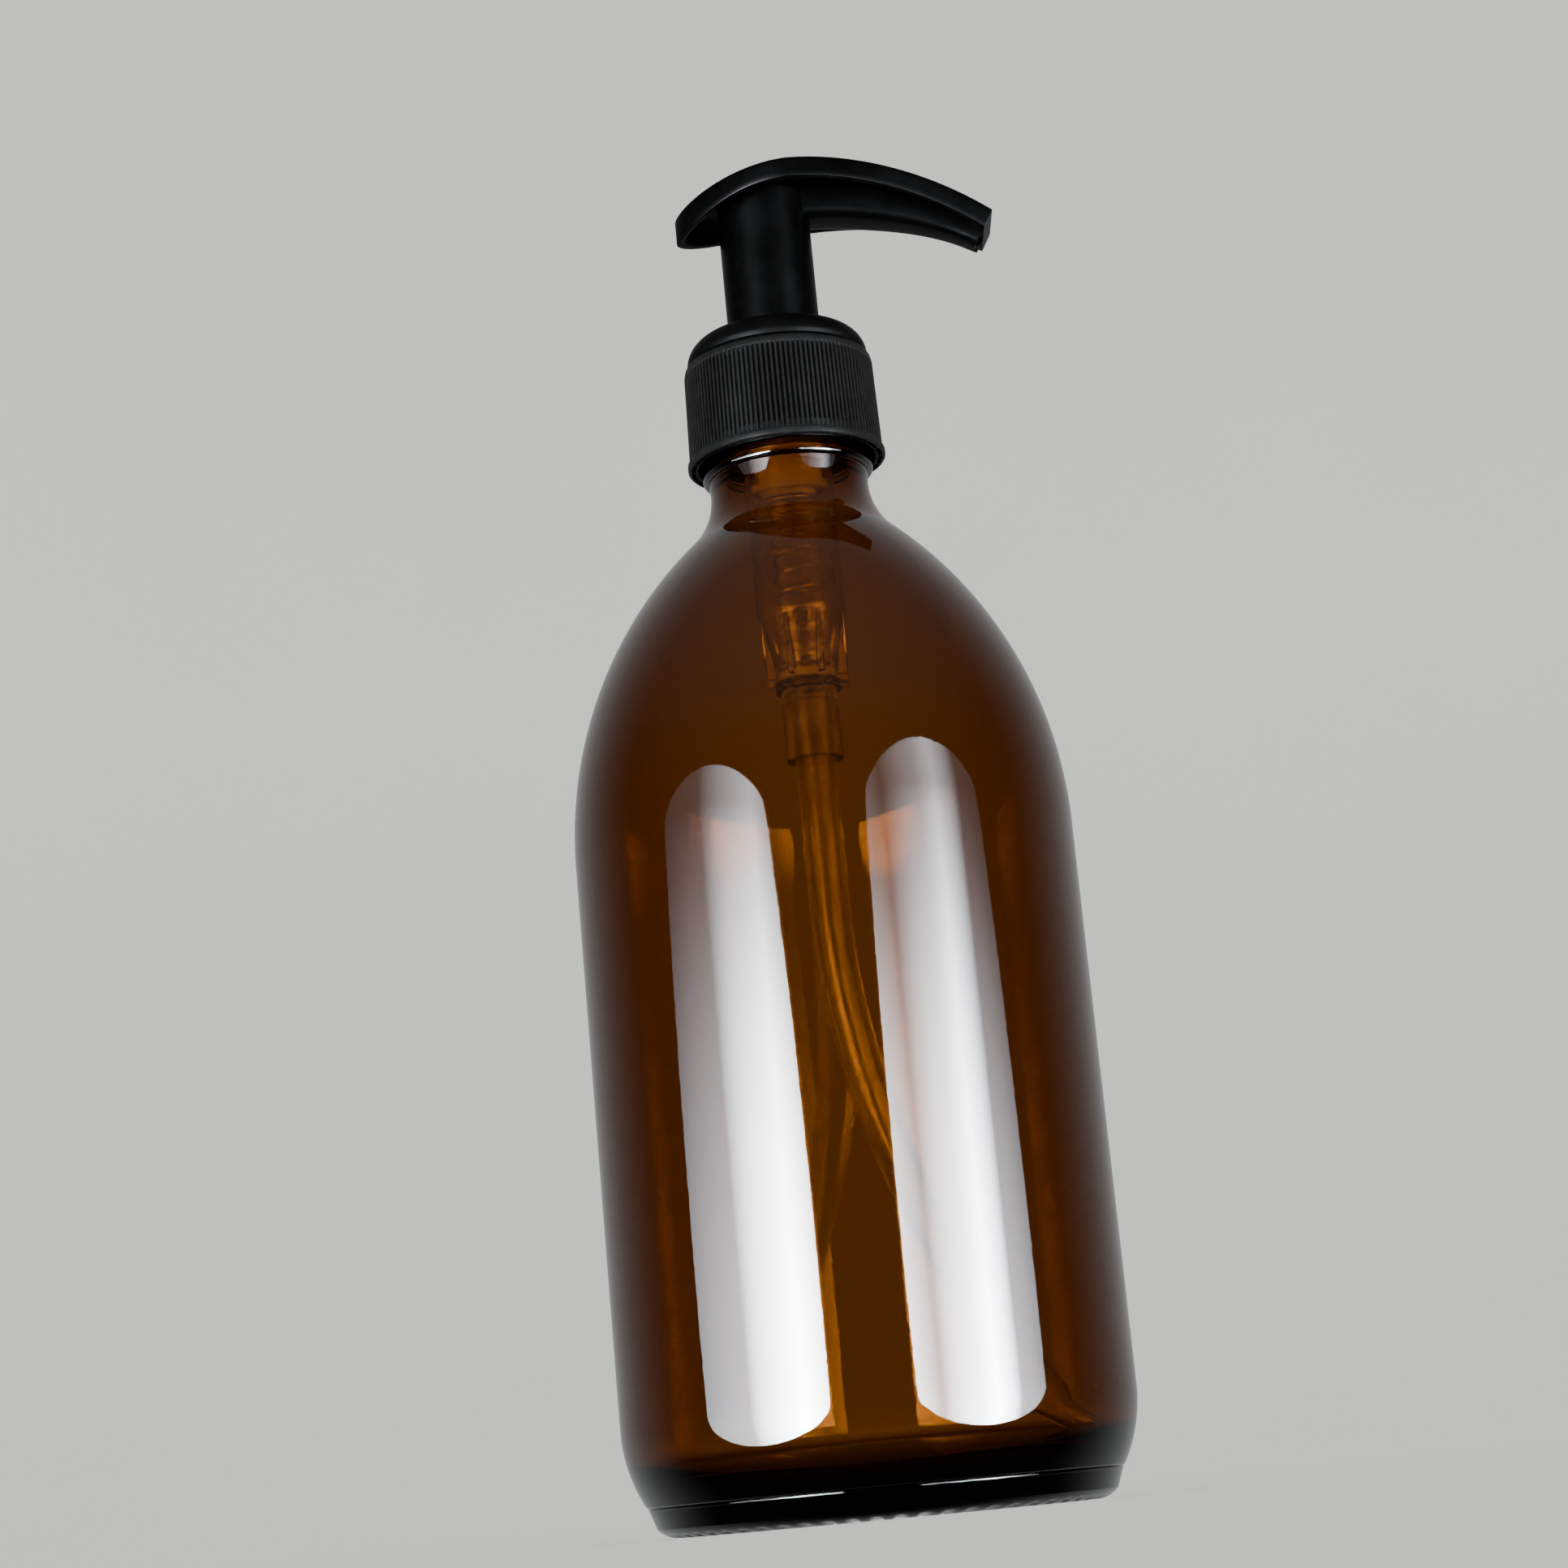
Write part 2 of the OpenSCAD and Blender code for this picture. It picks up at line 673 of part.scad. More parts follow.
module piston_retainer() {
    color([0.9, 0.9, 0.88])
        difference() {
            union() {
                translate([0, 0, retainer_z])
                    cylinder(r = coil_r + wire_d / 2 + retainer_lip, h = retainer_t);
                translate([0, 0, retainer_z])
                    cylinder(r = plug_r, h = retainer_t + retainer_plug_l);
            }
            translate([0, 0, retainer_z - 1])
                cylinder(r = stem_bore, h = retainer_t + retainer_plug_l + 2);
        }
}

// Height of the spring's wire after a given number of turns
function coil_z(turn) = let (
        total = open_turns + 2 * closed_turns,
        rise = spring_top_z - spring_z - 2 * closed_turns * wire_d,
        opened = min(max(turn - closed_turns, 0), open_turns))
    spring_z + (turn <= closed_turns ? turn * wire_d
        : turn >= total - closed_turns ? spring_top_z - spring_z - (total - turn) * wire_d
        : closed_turns * wire_d + rise * opened / open_turns);

module spring() {
    n = (open_turns + 2 * closed_turns) * spring_steps;
    points = [for (i = [0:n], k = [0:spring_sides - 1]) let (
            a = 360 * i / spring_steps,
            b = 360 * k / spring_sides,
            r = coil_r + wire_d / 2 * cos(b))
        [r * cos(a), r * sin(a), coil_z(i / spring_steps) + wire_d / 2 * sin(b)]];
    strip = [for (i = [0:n - 1], k = [0:spring_sides - 1]) let (
            a = spring_sides * i + k,
            b = spring_sides * i + (k + 1) % spring_sides)
        each [[a, b, a + spring_sides], [b, b + spring_sides, a + spring_sides]]];
    caps = [[for (k = [spring_sides - 1:-1:0]) k], [for (k = [0:spring_sides - 1]) spring_sides * n + k]];
    color([0.72, 0.72, 0.7])
        polyhedron(points, concat(strip, caps), convexity = 12);
}

module ball_cage() {
    color([0.9, 0.9, 0.88])
        difference() {
            union() {
                translate([0, 0, seat_top_z])
                    cylinder(r = spring_bore_r, h = cage_foot_t);
                translate([0, 0, seat_top_z])
                    cylinder(r = cage_r, h = cage_roof_z + cage_roof_t - seat_top_z);
            }
            translate([0, 0, seat_top_z - 1])
                cylinder(r = cage_bore_r, h = cage_roof_z - seat_top_z + 1);
            for (turn = [0, 90])
                rotate([0, 0, turn])
                    translate([-cage_r - 1, -cage_slot_w / 2, seat_top_z + cage_foot_t])
                        cube([2 * cage_r + 2, cage_slot_w, cage_roof_z - seat_top_z - cage_foot_t]);
            translate([0, 0, cage_roof_z - 1])
                cylinder(r = cage_vent_r, h = cage_roof_t + 2);
        }
}

module inlet_ball() {
    color([0.75, 0.78, 0.8])
        translate([0, 0, inlet_ball_z])
            sphere(r = inlet_ball_r);
}

module outlet_ball() {
    color([0.75, 0.78, 0.8])
        translate([0, 0, outlet_ball_z])
            sphere(r = outlet_ball_r);
}

// Plate in the XZ plane between two arcs that share the head's high point
module head_slab(top_cz, top_arc, low_cz, low_arc, half_span) {
    translate([0, half_span, 0])
        rotate([90, 0, 0])
            linear_extrude(height = 2 * half_span)
                difference() {
                    intersection() {
                        translate([head_round_x, top_cz])
                            circle(r = top_arc, $fn = fine_fn);
                        translate([-head_back - 1, collar_top_z])
                            square([head_back + head_front + 4, 2 * crown_rise]);
                    }
                    translate([head_round_x, low_cz])
                        circle(r = low_arc, $fn = fine_fn);
                }
}

module head_duct() {
    from_x = -duct_half_w / 2;
    intersection() {
        head_slab(crown_cz, crown_arc - 0.5, crown_cz, duct_arc, head_half_w);
        translate([0, 0, collar_top_z])
            linear_extrude(height = 2 * crown_rise)
                polygon([[from_x, -duct_half_w], [sleeve_r, -duct_half_w], [head_front + 2, -nozzle_half_w],
                    [head_front + 2, nozzle_half_w], [sleeve_r, duct_half_w], [from_x, duct_half_w]]);
    }
}

module actuator_head() {
    cavity_front = head_front - spout_lip;
    color([0.03, 0.03, 0.032])
        difference() {
            union() {
                // Shell: the crown with its skirt all round
                difference() {
                    intersection() {
                        head_slab(crown_cz, crown_arc, rim_cz, rim_arc, head_half_w + 1);
                        translate([0, 0, collar_top_z])
                            linear_extrude(height = 2 * crown_rise)
                                head_outline(0, head_front + 0.6);
                    }
                    intersection() {
                        head_slab(crown_cz, crown_arc - head_top_t, crown_cz, crown_arc / 2,
                            head_half_w + 1);
                        translate([0, 0, collar_top_z])
                            linear_extrude(height = 2 * crown_rise)
                                head_outline(skirt_t, cavity_front);
                    }
                }
                head_duct();
                translate([0, 0, sleeve_z])
                    cylinder(r = sleeve_r, h = crown_z - head_top_t - 0.6 - sleeve_z);
            }
            // Space between the sleeve and the stem socket
            tube(sleeve_bore_r, socket_r, sleeve_z - 1, crown_z - duct_depth - 0.2);
            translate([0, 0, sleeve_z - 1])
                cylinder(r = socket_r + overlap, h = socket_z - sleeve_z + 1);
            // Socket for the stem, the port over it and the passage along the duct
            translate([0, 0, socket_z - 1])
                cylinder(r = stem_r, h = stem_top_z - socket_z + 1);
            translate([0, 0, stem_top_z - 0.5])
                cylinder(r = duct_bore, h = bore_z - stem_top_z + 0.5);
            translate([head_round_x, 0, crown_cz])
                rotate([90, 0, 0])
                    rotate_extrude(angle = 98, start = 2)
                        translate([bore_arc, 0])
                            circle(r = duct_bore, $fn = 48);
            // Slanted end face of the spout
            translate([head_front, -head_half_w, tip_z])
                rotate([0, tip_lean, 0])
                    translate([0, 0, -2 * crown_rise])
                        cube([crown_rise, 2 * head_half_w, 4 * crown_rise]);
        }
}

// Route of the dip tube's middle line in the XZ plane, as [x, z, lean] from its top to its open end
function dip_route() = concat(
    [[0, dip_top_z, 0]],
    [for (i = [0:dip_arc_steps]) let (a = dip_lean * i / dip_arc_steps)
        [dip_bend * (1 - cos(a)), bend_z - dip_bend * sin(a), a]],
    [[dip_reach, dip_end_z, dip_lean]]);

module dip_tube() {
    route = dip_route();
    n = len(route);
    m = dip_sides;
    radii = [dip_r, dip_bore / 2];
    points = [for (wall = [0, 1], p = route, k = [0:m - 1]) let (
            a = 360 * k / m,
            u = radii[wall] * cos(a))
        [p[0] + u * cos(p[2]), radii[wall] * sin(a), p[1] + u * sin(p[2])]];
    // Outer and inner walls, then the two ring-shaped ends
    walls = [for (i = [0:n - 2], k = [0:m - 1]) let (a = m * i + k, b = m * i + (k + 1) % m, w = m * n)
        each [[a, b, a + m], [b, b + m, a + m], [w + a, w + a + m, w + b], [w + b, w + a + m, w + b + m]]];
    ends = [for (k = [0:m - 1]) let (a = k, b = (k + 1) % m, w = m * n, e = m * (n - 1))
        each [[a, w + a, b], [b, w + a, w + b], [e + a, e + b, w + e + a], [e + b, w + e + b, w + e + a]]];
    color([0.93, 0.93, 0.9, 0.7])
        polyhedron(points, concat(walls, ends), convexity = 6);
}

bottle();
collar();
neck_gasket();
pump_housing();
chaplet();
stem();
piston();
piston_retainer();
spring();
ball_cage();
inlet_ball();
outlet_ball();
actuator_head();
dip_tube();
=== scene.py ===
import math
import random

import bmesh
import bpy
from mathutils import Matrix, Vector


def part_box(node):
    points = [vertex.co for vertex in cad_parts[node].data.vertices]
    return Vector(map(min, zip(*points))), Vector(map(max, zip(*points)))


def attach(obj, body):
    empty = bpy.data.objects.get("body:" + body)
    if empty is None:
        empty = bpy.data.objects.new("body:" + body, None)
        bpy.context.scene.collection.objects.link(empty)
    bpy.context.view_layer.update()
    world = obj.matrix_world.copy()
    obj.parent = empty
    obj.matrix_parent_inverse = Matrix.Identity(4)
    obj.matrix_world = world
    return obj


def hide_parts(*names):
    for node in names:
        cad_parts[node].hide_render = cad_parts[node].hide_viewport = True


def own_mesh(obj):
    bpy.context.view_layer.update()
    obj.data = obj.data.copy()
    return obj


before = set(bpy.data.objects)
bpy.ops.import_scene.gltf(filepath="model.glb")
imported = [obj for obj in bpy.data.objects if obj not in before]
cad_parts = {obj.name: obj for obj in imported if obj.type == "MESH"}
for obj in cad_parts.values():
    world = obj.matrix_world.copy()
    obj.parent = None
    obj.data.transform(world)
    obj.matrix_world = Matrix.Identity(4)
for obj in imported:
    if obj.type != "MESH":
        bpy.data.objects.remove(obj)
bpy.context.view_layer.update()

MM = 0.001

# ---------------------------------------------------------------- sizes, in mm, from the frame


def node_box(name):
    low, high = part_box(name)
    return [v / MM for v in low], [v / MM for v in high]


bottle_low, bottle_high = node_box("bottle")
collar_low, collar_high = node_box("collar")
head_low, head_high = node_box("actuator_head")
tube_low, tube_high = node_box("dip_tube")
stem_high = node_box("stem")[1]
spring_low, spring_high = node_box("spring")

BODY_R = (bottle_high[0] - bottle_low[0]) / 2
BOTTLE_H = bottle_high[2]
NECK_R = 12.5
WALL = 2.6
SHOULDER_ARC = 66.0
NECK_BLEND = 12.0
NECK_STRAIGHT = 17.0
HEEL_H = 16.0
HEEL_ARC = 23.0
HEEL_CORNER = 4.2
FLOOR_Z = 6.5
FLOOR_CORNER = 7.0
FLOOR_CROWN = 1.5
PUSH_UP = 2.6
BEARING_W = 4.0
BEARING_END = 42.0
SEAM_R = 0.2
SEAM_IN = 0.22
LIP = 0.9
BORE_LIP = 0.6
BEAD_UP = 2.5
BEAD_OUT = 0.3
BEAD_R = 0.7
KNURLS = 60
KNURL_H = 0.42
THREAD_PITCH = 4.23
THREAD_TURNS = 1.25
THREAD_H = 1.2
THREAD_TOP = BOTTLE_H - 2.6

COLLAR_R = 15.25
COLLAR_RIM = collar_low[2]
COLLAR_TOP = collar_high[2]
RIBS = 120
# The rib tops stand out by RIB_OUT at the rim and draw in by DRAFT for each millimetre above it
RIB_OUT = 0.14
DRAFT = 0.34 / 16

# ---------------------------------------------------------------- camera

CAMERA_LENS = 72.22
CAMERA_SENSOR = 36.0
CAMERA_BACK = 475.0
CAMERA_HEIGHT = 3.0
CAMERA_PITCH = math.radians(12.89)
CAMERA_YAW = math.radians(-0.63)
CAMERA_ROLL = math.radians(-5.38)


def make_camera():
    data = bpy.data.cameras.new("camera")
    data.sensor_width = CAMERA_SENSOR
    data.lens = CAMERA_LENS
    data.clip_start = 0.01
    data.clip_end = 20.0
    ahead = Vector((math.sin(CAMERA_YAW) * math.cos(CAMERA_PITCH),
                    math.cos(CAMERA_YAW) * math.cos(CAMERA_PITCH), math.sin(CAMERA_PITCH)))
    level = Vector((math.cos(CAMERA_YAW), -math.sin(CAMERA_YAW), 0.0))
    upright = level.cross(ahead)
    right = level * math.cos(CAMERA_ROLL) + upright * math.sin(CAMERA_ROLL)
    up = upright * math.cos(CAMERA_ROLL) - level * math.sin(CAMERA_ROLL)
    turn = Matrix((right, up, -ahead)).transposed().to_4x4()
    camera = bpy.data.objects.new("camera", data)
    camera.matrix_world = Matrix.Translation((0, -CAMERA_BACK * MM, CAMERA_HEIGHT * MM)) @ turn
    bpy.context.collection.objects.link(camera)
    bpy.context.scene.camera = camera


make_camera()

# ---------------------------------------------------------------- mesh helpers


def finish_mesh(mesh, sharp_angle):
    """Shades a mesh smooth, except at edges sharper than the angle."""
    mesh.shade_smooth()
    mesh.set_sharp_from_angle(angle=math.radians(sharp_angle))


def add_mesh(name, points, faces, sharp_angle=35):
    """Makes an object from points in mm and faces."""
    mesh = bpy.data.meshes.new(name)
    mesh.from_pydata([(x * MM, y * MM, z * MM) for x, y, z in points], [], faces)
    shape = bmesh.new()
    shape.from_mesh(mesh)
    bmesh.ops.remove_doubles(shape, verts=shape.verts, dist=0.002 * MM)
    bmesh.ops.recalc_face_normals(shape, faces=shape.faces)
    shape.to_mesh(mesh)
    shape.free()
    finish_mesh(mesh, sharp_angle)
    thing = bpy.data.objects.new(name, mesh)
    bpy.context.collection.objects.link(thing)
    return thing


def band_faces(first, second, size):
    """Faces between two closed rings of points, given the number of each ring's first point."""
    return [(first + k, first + (k + 1) % size, second + (k + 1) % size, second + k) for k in range(size)]


def arc(cx, cz, radius, start, end, steps):
    """Points of an arc from one angle to another, in degrees, both ends included."""
    out = []
    for i in range(steps + 1):
        a = math.radians(start + (end - start) * i / steps)
        out.append((cx + radius * math.cos(a), cz + radius * math.sin(a)))
    return out


def line(start, end, steps):
    """Points along a straight stretch, both ends included."""
    return [(start[0] + (end[0] - start[0]) * i / steps, start[1] + (end[1] - start[1]) * i / steps)
            for i in range(steps + 1)]


def lathe(name, profile, segments=96, shape=None, closed=True, sharp_angle=35):
    """Turns a profile of (radius, height) about Z. shape(radius, height, angle) may move each point."""
    points = []
    for radius, height in profile:
        for k in range(segments):
            angle = 2 * math.pi * k / segments
            r, z = shape(radius, height, angle) if shape else (radius, height)
            points.append((r * math.cos(angle), r * math.sin(angle), z))
    rows = len(profile)
    faces = []
    for i in range(rows if closed else rows - 1):
        faces += band_faces(i * segments, (i + 1) % rows * segments, segments)
    return add_mesh(name, points, faces, sharp_angle)


def smooth_step(low, high, value):
    t = min(1.0, max(0.0, (value - low) / (high - low)))
    return t * t * (3 - 2 * t)


# ---------------------------------------------------------------- materials


def new_material(name):
    material = bpy.data.materials.new(name)
    material.use_nodes = True
    tree = material.node_tree
    shader = tree.nodes["Principled BSDF"]
    return material, tree, shader


def separate(tree, vector):
    node = tree.nodes.new("ShaderNodeSeparateXYZ")
    tree.links.new(vector, node.inputs["Vector"])
    return node.outputs


def calculate(tree, operation, *values):
    """One Math node. Each value is a number or another node's output."""
    node = tree.nodes.new("ShaderNodeMath")
    node.operation = operation
    for socket, value in zip(node.inputs, values):
        if isinstance(value, (int, float)):
            socket.default_value = value
        else:
            tree.links.new(value, socket)
    return node.outputs["Value"]


def map_range(tree, value, low, high, start, end, kind="LINEAR"):
    """Maps low..high to start..end."""
    node = tree.nodes.new("ShaderNodeMapRange")
    node.interpolation_type = kind
    node.inputs["From Min"].default_value = low
    node.inputs["From Max"].default_value = high
    node.inputs["To Min"].default_value = start
    node.inputs["To Max"].default_value = end
    tree.links.new(value, node.inputs["Value"])
    return node.outputs["Result"]


def noise(tree, scale, detail=2.0, roughness=0.5, stretch=(1, 1, 1)):
    """A noise texture in the object's own coordinates, in features per metre."""
    spot = tree.nodes.new("ShaderNodeTexCoord")
    mapping = tree.nodes.new("ShaderNodeMapping")
    mapping.inputs["Scale"].default_value = stretch
    texture = tree.nodes.new("ShaderNodeTexNoise")
    texture.inputs["Scale"].default_value = scale
    texture.inputs["Detail"].default_value = detail
    texture.inputs["Roughness"].default_value = roughness
    tree.links.new(spot.outputs["Object"], mapping.inputs["Vector"])
    tree.links.new(mapping.outputs["Vector"], texture.inputs["Vector"])
    return texture.outputs["Fac"]


def ramp(tree, value, stops):
    """A colour ramp. Each stop is a position with a grey or a colour."""
    node = tree.nodes.new("ShaderNodeValToRGB")
    elements = node.color_ramp.elements
    for i, (position, tone) in enumerate(stops):
        element = elements[i] if i < 2 else elements.new(position)
        element.position = position
        colour = tone if isinstance(tone, tuple) else (tone, tone, tone)
        element.color = (*colour, 1)
    tree.links.new(value, node.inputs["Fac"])
    return node.outputs["Color"]


def bump(tree, height, strength, distance, before=None):
    """A bump on top of an earlier one, if there is one."""
    node = tree.nodes.new("ShaderNodeBump")
    node.inputs["Strength"].default_value = strength
    node.inputs["Distance"].default_value = distance
    tree.links.new(height, node.inputs["Height"])
    if before is not None:
        tree.links.new(before, node.inputs["Normal"])
    return node.outputs["Normal"]


def amber_glass():
    """Clear glass with a brown body, faint smears and the slow ripple of blown glass."""
    material, tree, shader = new_material("amber_glass")
    shader.inputs["Base Color"].default_value = (1, 1, 1, 1)
    shader.inputs["Transmission Weight"].default_value = 1.0
    shader.inputs["IOR"].default_value = 1.52
    smear = noise(tree, 90, 4, 0.6, (1, 1, 0.35))
    tree.links.new(ramp(tree, smear, [(0.35, 0.01), (0.7, 0.03)]), shader.inputs["Roughness"])
    ripple = bump(tree, noise(tree, 22, 1, 0.4, (1, 1, 0.5)), 0.05, 0.001)
    tree.links.new(bump(tree, noise(tree, 1100, 2, 0.5), 0.03, 0.0001, ripple), shader.inputs["Normal"])
    soak = tree.nodes.new("ShaderNodeVolumeAbsorption")
    soak.inputs["Color"].default_value = (0.61, 0.40, 0.02, 1)
    soak.inputs["Density"].default_value = 1150.0
    tree.links.new(soak.outputs["Volume"], tree.nodes["Material Output"].inputs["Volume"])
    return material


def rib_dust_and_groove_shade(tree, colour):
    """Lightens the collar's rib tops as rubbed dust and darkens its grooves as painted shade, by distance from
    its axis.
    """
    spot = separate(tree, tree.nodes.new("ShaderNodeTexCoord").outputs["Object"])
    y_squared = calculate(tree, "POWER", spot["Y"], 2.0)
    radius = calculate(tree, "SQRT", calculate(tree, "MULTIPLY_ADD", spot["X"], spot["X"], y_squared))
    undrafted = calculate(tree, "MULTIPLY_ADD", spot["Z"], DRAFT, radius)
    rib_top = (COLLAR_R + RIB_OUT + DRAFT * COLLAR_RIM) * MM
    # The grooves fall to a fifth of the colour as painted shade; the rib tops rise above it as pale dust.
    tone = map_range(tree, undrafted, rib_top - 0.4 * MM, rib_top - 0.05 * MM, 0.2, 1.35)
    dusted_and_shaded = tree.nodes.new("ShaderNodeVectorMath")
    dusted_and_shaded.operation = "SCALE"
    tree.links.new(colour, dusted_and_shaded.inputs[0])
    tree.links.new(tone, dusted_and_shaded.inputs["Scale"])
    return dusted_and_shaded.outputs["Vector"]


def black_plastic(name, dark, dusty, rough, grain, ribbed=False):
    """Satin black moulding with a dust grain and uneven polish."""
    material, tree, shader = new_material(name)
    dust = noise(tree, 420, 5, 0.7)
    colour = ramp(tree, dust, [(0.45, (dark, dark, dark * 1.05)), (0.8, (dusty, dusty, dusty * 1.03))])
    # On the collar the base colour gets painted shade in the rib grooves and pale dust on the rib tops.
    tree.links.new(rib_dust_and_groove_shade(tree, colour) if ribbed else colour, shader.inputs["Base Color"])
    wear = noise(tree, 120, 4, 0.65)
    tree.links.new(ramp(tree, wear, [(0.3, rough - 0.06), (0.7, rough + 0.1)]), shader.inputs["Roughness"])
    shader.inputs["IOR"].default_value = 1.5
    shader.inputs["Specular IOR Level"].default_value = 0.03
    fine = bump(tree, noise(tree, 2600, 3, 0.6), 0.12 * grain, 0.0001)
    tree.links.new(bump(tree, noise(tree, 140, 2, 0.5), 0.06, 0.0006, fine), shader.inputs["Normal"])
    return material


def translucent_plastic(name, tint, rough, transmission):
    """Natural see-through plastic, a little cloudy."""
    material, tree, shader = new_material(name)
    cloud = noise(tree, 260, 3, 0.5)
    light = tuple(min(1.0, c * 1.04) for c in tint)
    dark = tuple(c * 0.9 for c in tint)
    tree.links.new(ramp(tree, cloud, [(0.3, dark), (0.7, light)]), shader.inputs["Base Color"])
    tree.links.new(ramp(tree, cloud, [(0.3, rough), (0.7, rough + 0.08)]), shader.inputs["Roughness"])
    shader.inputs["Transmission Weight"].default_value = transmission
    shader.inputs["IOR"].default_value = 1.49
    return material


def solid_plastic(name, tint, rough):
    """Natural opaque plastic or foam with a fine grain."""
    material, tree, shader = new_material(name)
    cloud = noise(tree, 300, 3, 0.6)
    dark = tuple(c * 0.9 for c in tint)
    tree.links.new(ramp(tree, cloud, [(0.3, dark), (0.7, tint)]), shader.inputs["Base Color"])
    tree.links.new(ramp(tree, cloud, [(0.3, rough), (0.7, rough + 0.1)]), shader.inputs["Roughness"])
    tree.links.new(bump(tree, noise(tree, 1600, 2, 0.5), 0.08, 0.0001), shader.inputs["Normal"])
    return material


def steel(name, tint, rough, stretch):
    """Stainless steel with drawing or polishing marks."""
    material, tree, shader = new_material(name)
    shader.inputs["Metallic"].default_value = 1.0
    drawn = noise(tree, 900, 3, 0.6, stretch)
    dark = tuple(c * 0.82 for c in tint)
    tree.links.new(ramp(tree, drawn, [(0.3, dark), (0.7, tint)]), shader.inputs["Base Color"])
    tree.links.new(ramp(tree, drawn, [(0.3, rough), (0.7, rough + 0.12)]), shader.inputs["Roughness"])
    return material


GLASS = amber_glass()
HEAD_BLACK = black_plastic("head_plastic", 0.0022, 0.005, 0.32, 0.6)
COLLAR_BLACK = black_plastic("collar_plastic", 0.02, 0.036, 0.42, 1.0, True)
CLEAR = translucent_plastic("clear_plastic", (0.96, 0.95, 0.92), 0.1, 0.96)
WHITE = solid_plastic("white_plastic", (0.86, 0.86, 0.83), 0.4)
SOFT = solid_plastic("soft_plastic", (0.78, 0.79, 0.8), 0.5)
FOAM = solid_plastic("gasket_foam", (0.8, 0.8, 0.77), 0.85)
WIRE = steel("spring_steel", (0.62, 0.61, 0.58), 0.28, (1, 1, 5))
BALL = steel("ball_steel", (0.76, 0.77, 0.78), 0.1, (1, 1, 1))


def dress(thing, material):
    thing.data.materials.clear()
    thing.data.materials.append(material)


def place(thing, body, node, material):
    """Puts a finished piece in a CAD node's stead."""
    dress(thing, material)
    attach(thing, body)
    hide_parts(node)


# ---------------------------------------------------------------- bottle

SHOULDER_CX = BODY_R - SHOULDER_ARC
BLEND_CX = NECK_R + NECK_BLEND
BLEND_Z = BOTTLE_H - NECK_STRAIGHT
SHOULDER_Z = BLEND_Z - math.sqrt((SHOULDER_ARC + NECK_BLEND) ** 2 - (BLEND_CX - SHOULDER_CX) ** 2)
SHOULDER_END = math.degrees(math.atan2(BLEND_Z - SHOULDER_Z, BLEND_CX - SHOULDER_CX))
HEEL_R = BODY_R - HEEL_ARC + math.sqrt(HEEL_ARC ** 2 - (HEEL_H - HEEL_CORNER) ** 2)
CORNER_CX = HEEL_R - HEEL_CORNER
BEARING_IN_R = CORNER_CX - BEARING_W


def thread_rise(angle, height, top, reach, half_base, half_crest):
    """How far a screw thread stands out at one angle and height, with its two ends faded out."""
    best = 0.0
    for turn in range(int(THREAD_TURNS) + 2):
        back = turn - angle / (2 * math.pi)
        if back < 0 or back > THREAD_TURNS:
            continue
        fade = smooth_step(0, 0.09, min(back, THREAD_TURNS - back))
        off = abs(height - (top - THREAD_PITCH * back))
        rise = 1 - min(1.0, max(0.0, (off - half_crest) / (half_base - half_crest)))
        best = max(best, reach * fade * rise * rise * (3 - 2 * rise))
    return best


def bottle_profile():
    """From the middle of the underside, up the outside, over the lip and down the inside."""
    # Push-up and standing ring
    under = (BEARING_IN_R ** 2 + PUSH_UP ** 2) / (2 * PUSH_UP)
    push_rs = [0.0, 6, 12, 17, 21, 24, BEARING_IN_R - 0.7]
    out = [(r, PUSH_UP - under + math.sqrt(under ** 2 - r ** 2)) for r in push_rs]
    out += line((BEARING_IN_R, 0), (CORNER_CX, 0), 10)
    out += arc(CORNER_CX, HEEL_CORNER, HEEL_CORNER, -90, -BEARING_END, 10)[1:]
    # Mould seam: a fine ridge where the heel meets the base plate
    out += arc(HEEL_R - SEAM_IN, HEEL_CORNER, SEAM_R, -60, 60, 6)
    seam_top = HEEL_CORNER + 0.45
    heel_start = -math.degrees(math.asin((HEEL_H - seam_top) / HEEL_ARC))
    out += arc(BODY_R - HEEL_ARC, HEEL_H, HEEL_ARC, heel_start, 0, 16)
    out += line((BODY_R, HEEL_H), (BODY_R, SHOULDER_Z), 30)[1:]
    out += arc(SHOULDER_CX, SHOULDER_Z, SHOULDER_ARC, 0, SHOULDER_END, 40)[1:]
    out += arc(BLEND_CX, BLEND_Z, NECK_BLEND, 180 + SHOULDER_END, 180, 16)[1:]
    # Bead under the finish, then the neck with its thread and the lip
    bead_z = BLEND_Z + BEAD_UP
    out += arc(NECK_R + BEAD_OUT, bead_z, BEAD_R, -100, 100, 16)
    out += line((NECK_R, bead_z + 1.5 * BEAD_R), (NECK_R, BOTTLE_H - LIP), 58)
    out += arc(NECK_R - LIP, BOTTLE_H - LIP, LIP, 0, 90, 6)[1:]
    bore = NECK_R - WALL
    out += arc(bore + BORE_LIP, BOTTLE_H - BORE_LIP, BORE_LIP, 90, 180, 5)
    out += line((bore, BOTTLE_H - 2 * BORE_LIP), (bore, BLEND_Z), 8)
    out += arc(BLEND_CX, BLEND_Z, NECK_BLEND + WALL, 180, 180 + SHOULDER_END, 14)[1:]
    out += arc(SHOULDER_CX, SHOULDER_Z, SHOULDER_ARC - WALL, SHOULDER_END, 0, 36)[1:]
    inner_r = BODY_R - WALL
    out += line((inner_r, SHOULDER_Z), (inner_r, FLOOR_Z + FLOOR_CORNER), 26)[1:]
    corner = inner_r - FLOOR_CORNER
    out += arc(corner, FLOOR_Z + FLOOR_CORNER, FLOOR_CORNER, 0, -90, 14)[1:]
    # The floor rises a little towards its middle
    shares = (0.85, 0.68, 0.5, 0.32, 0.15, 0.0)
    out += [(corner * s, FLOOR_Z + FLOOR_CROWN * (1 - s * s) ** 2) for s in shares]
    return out


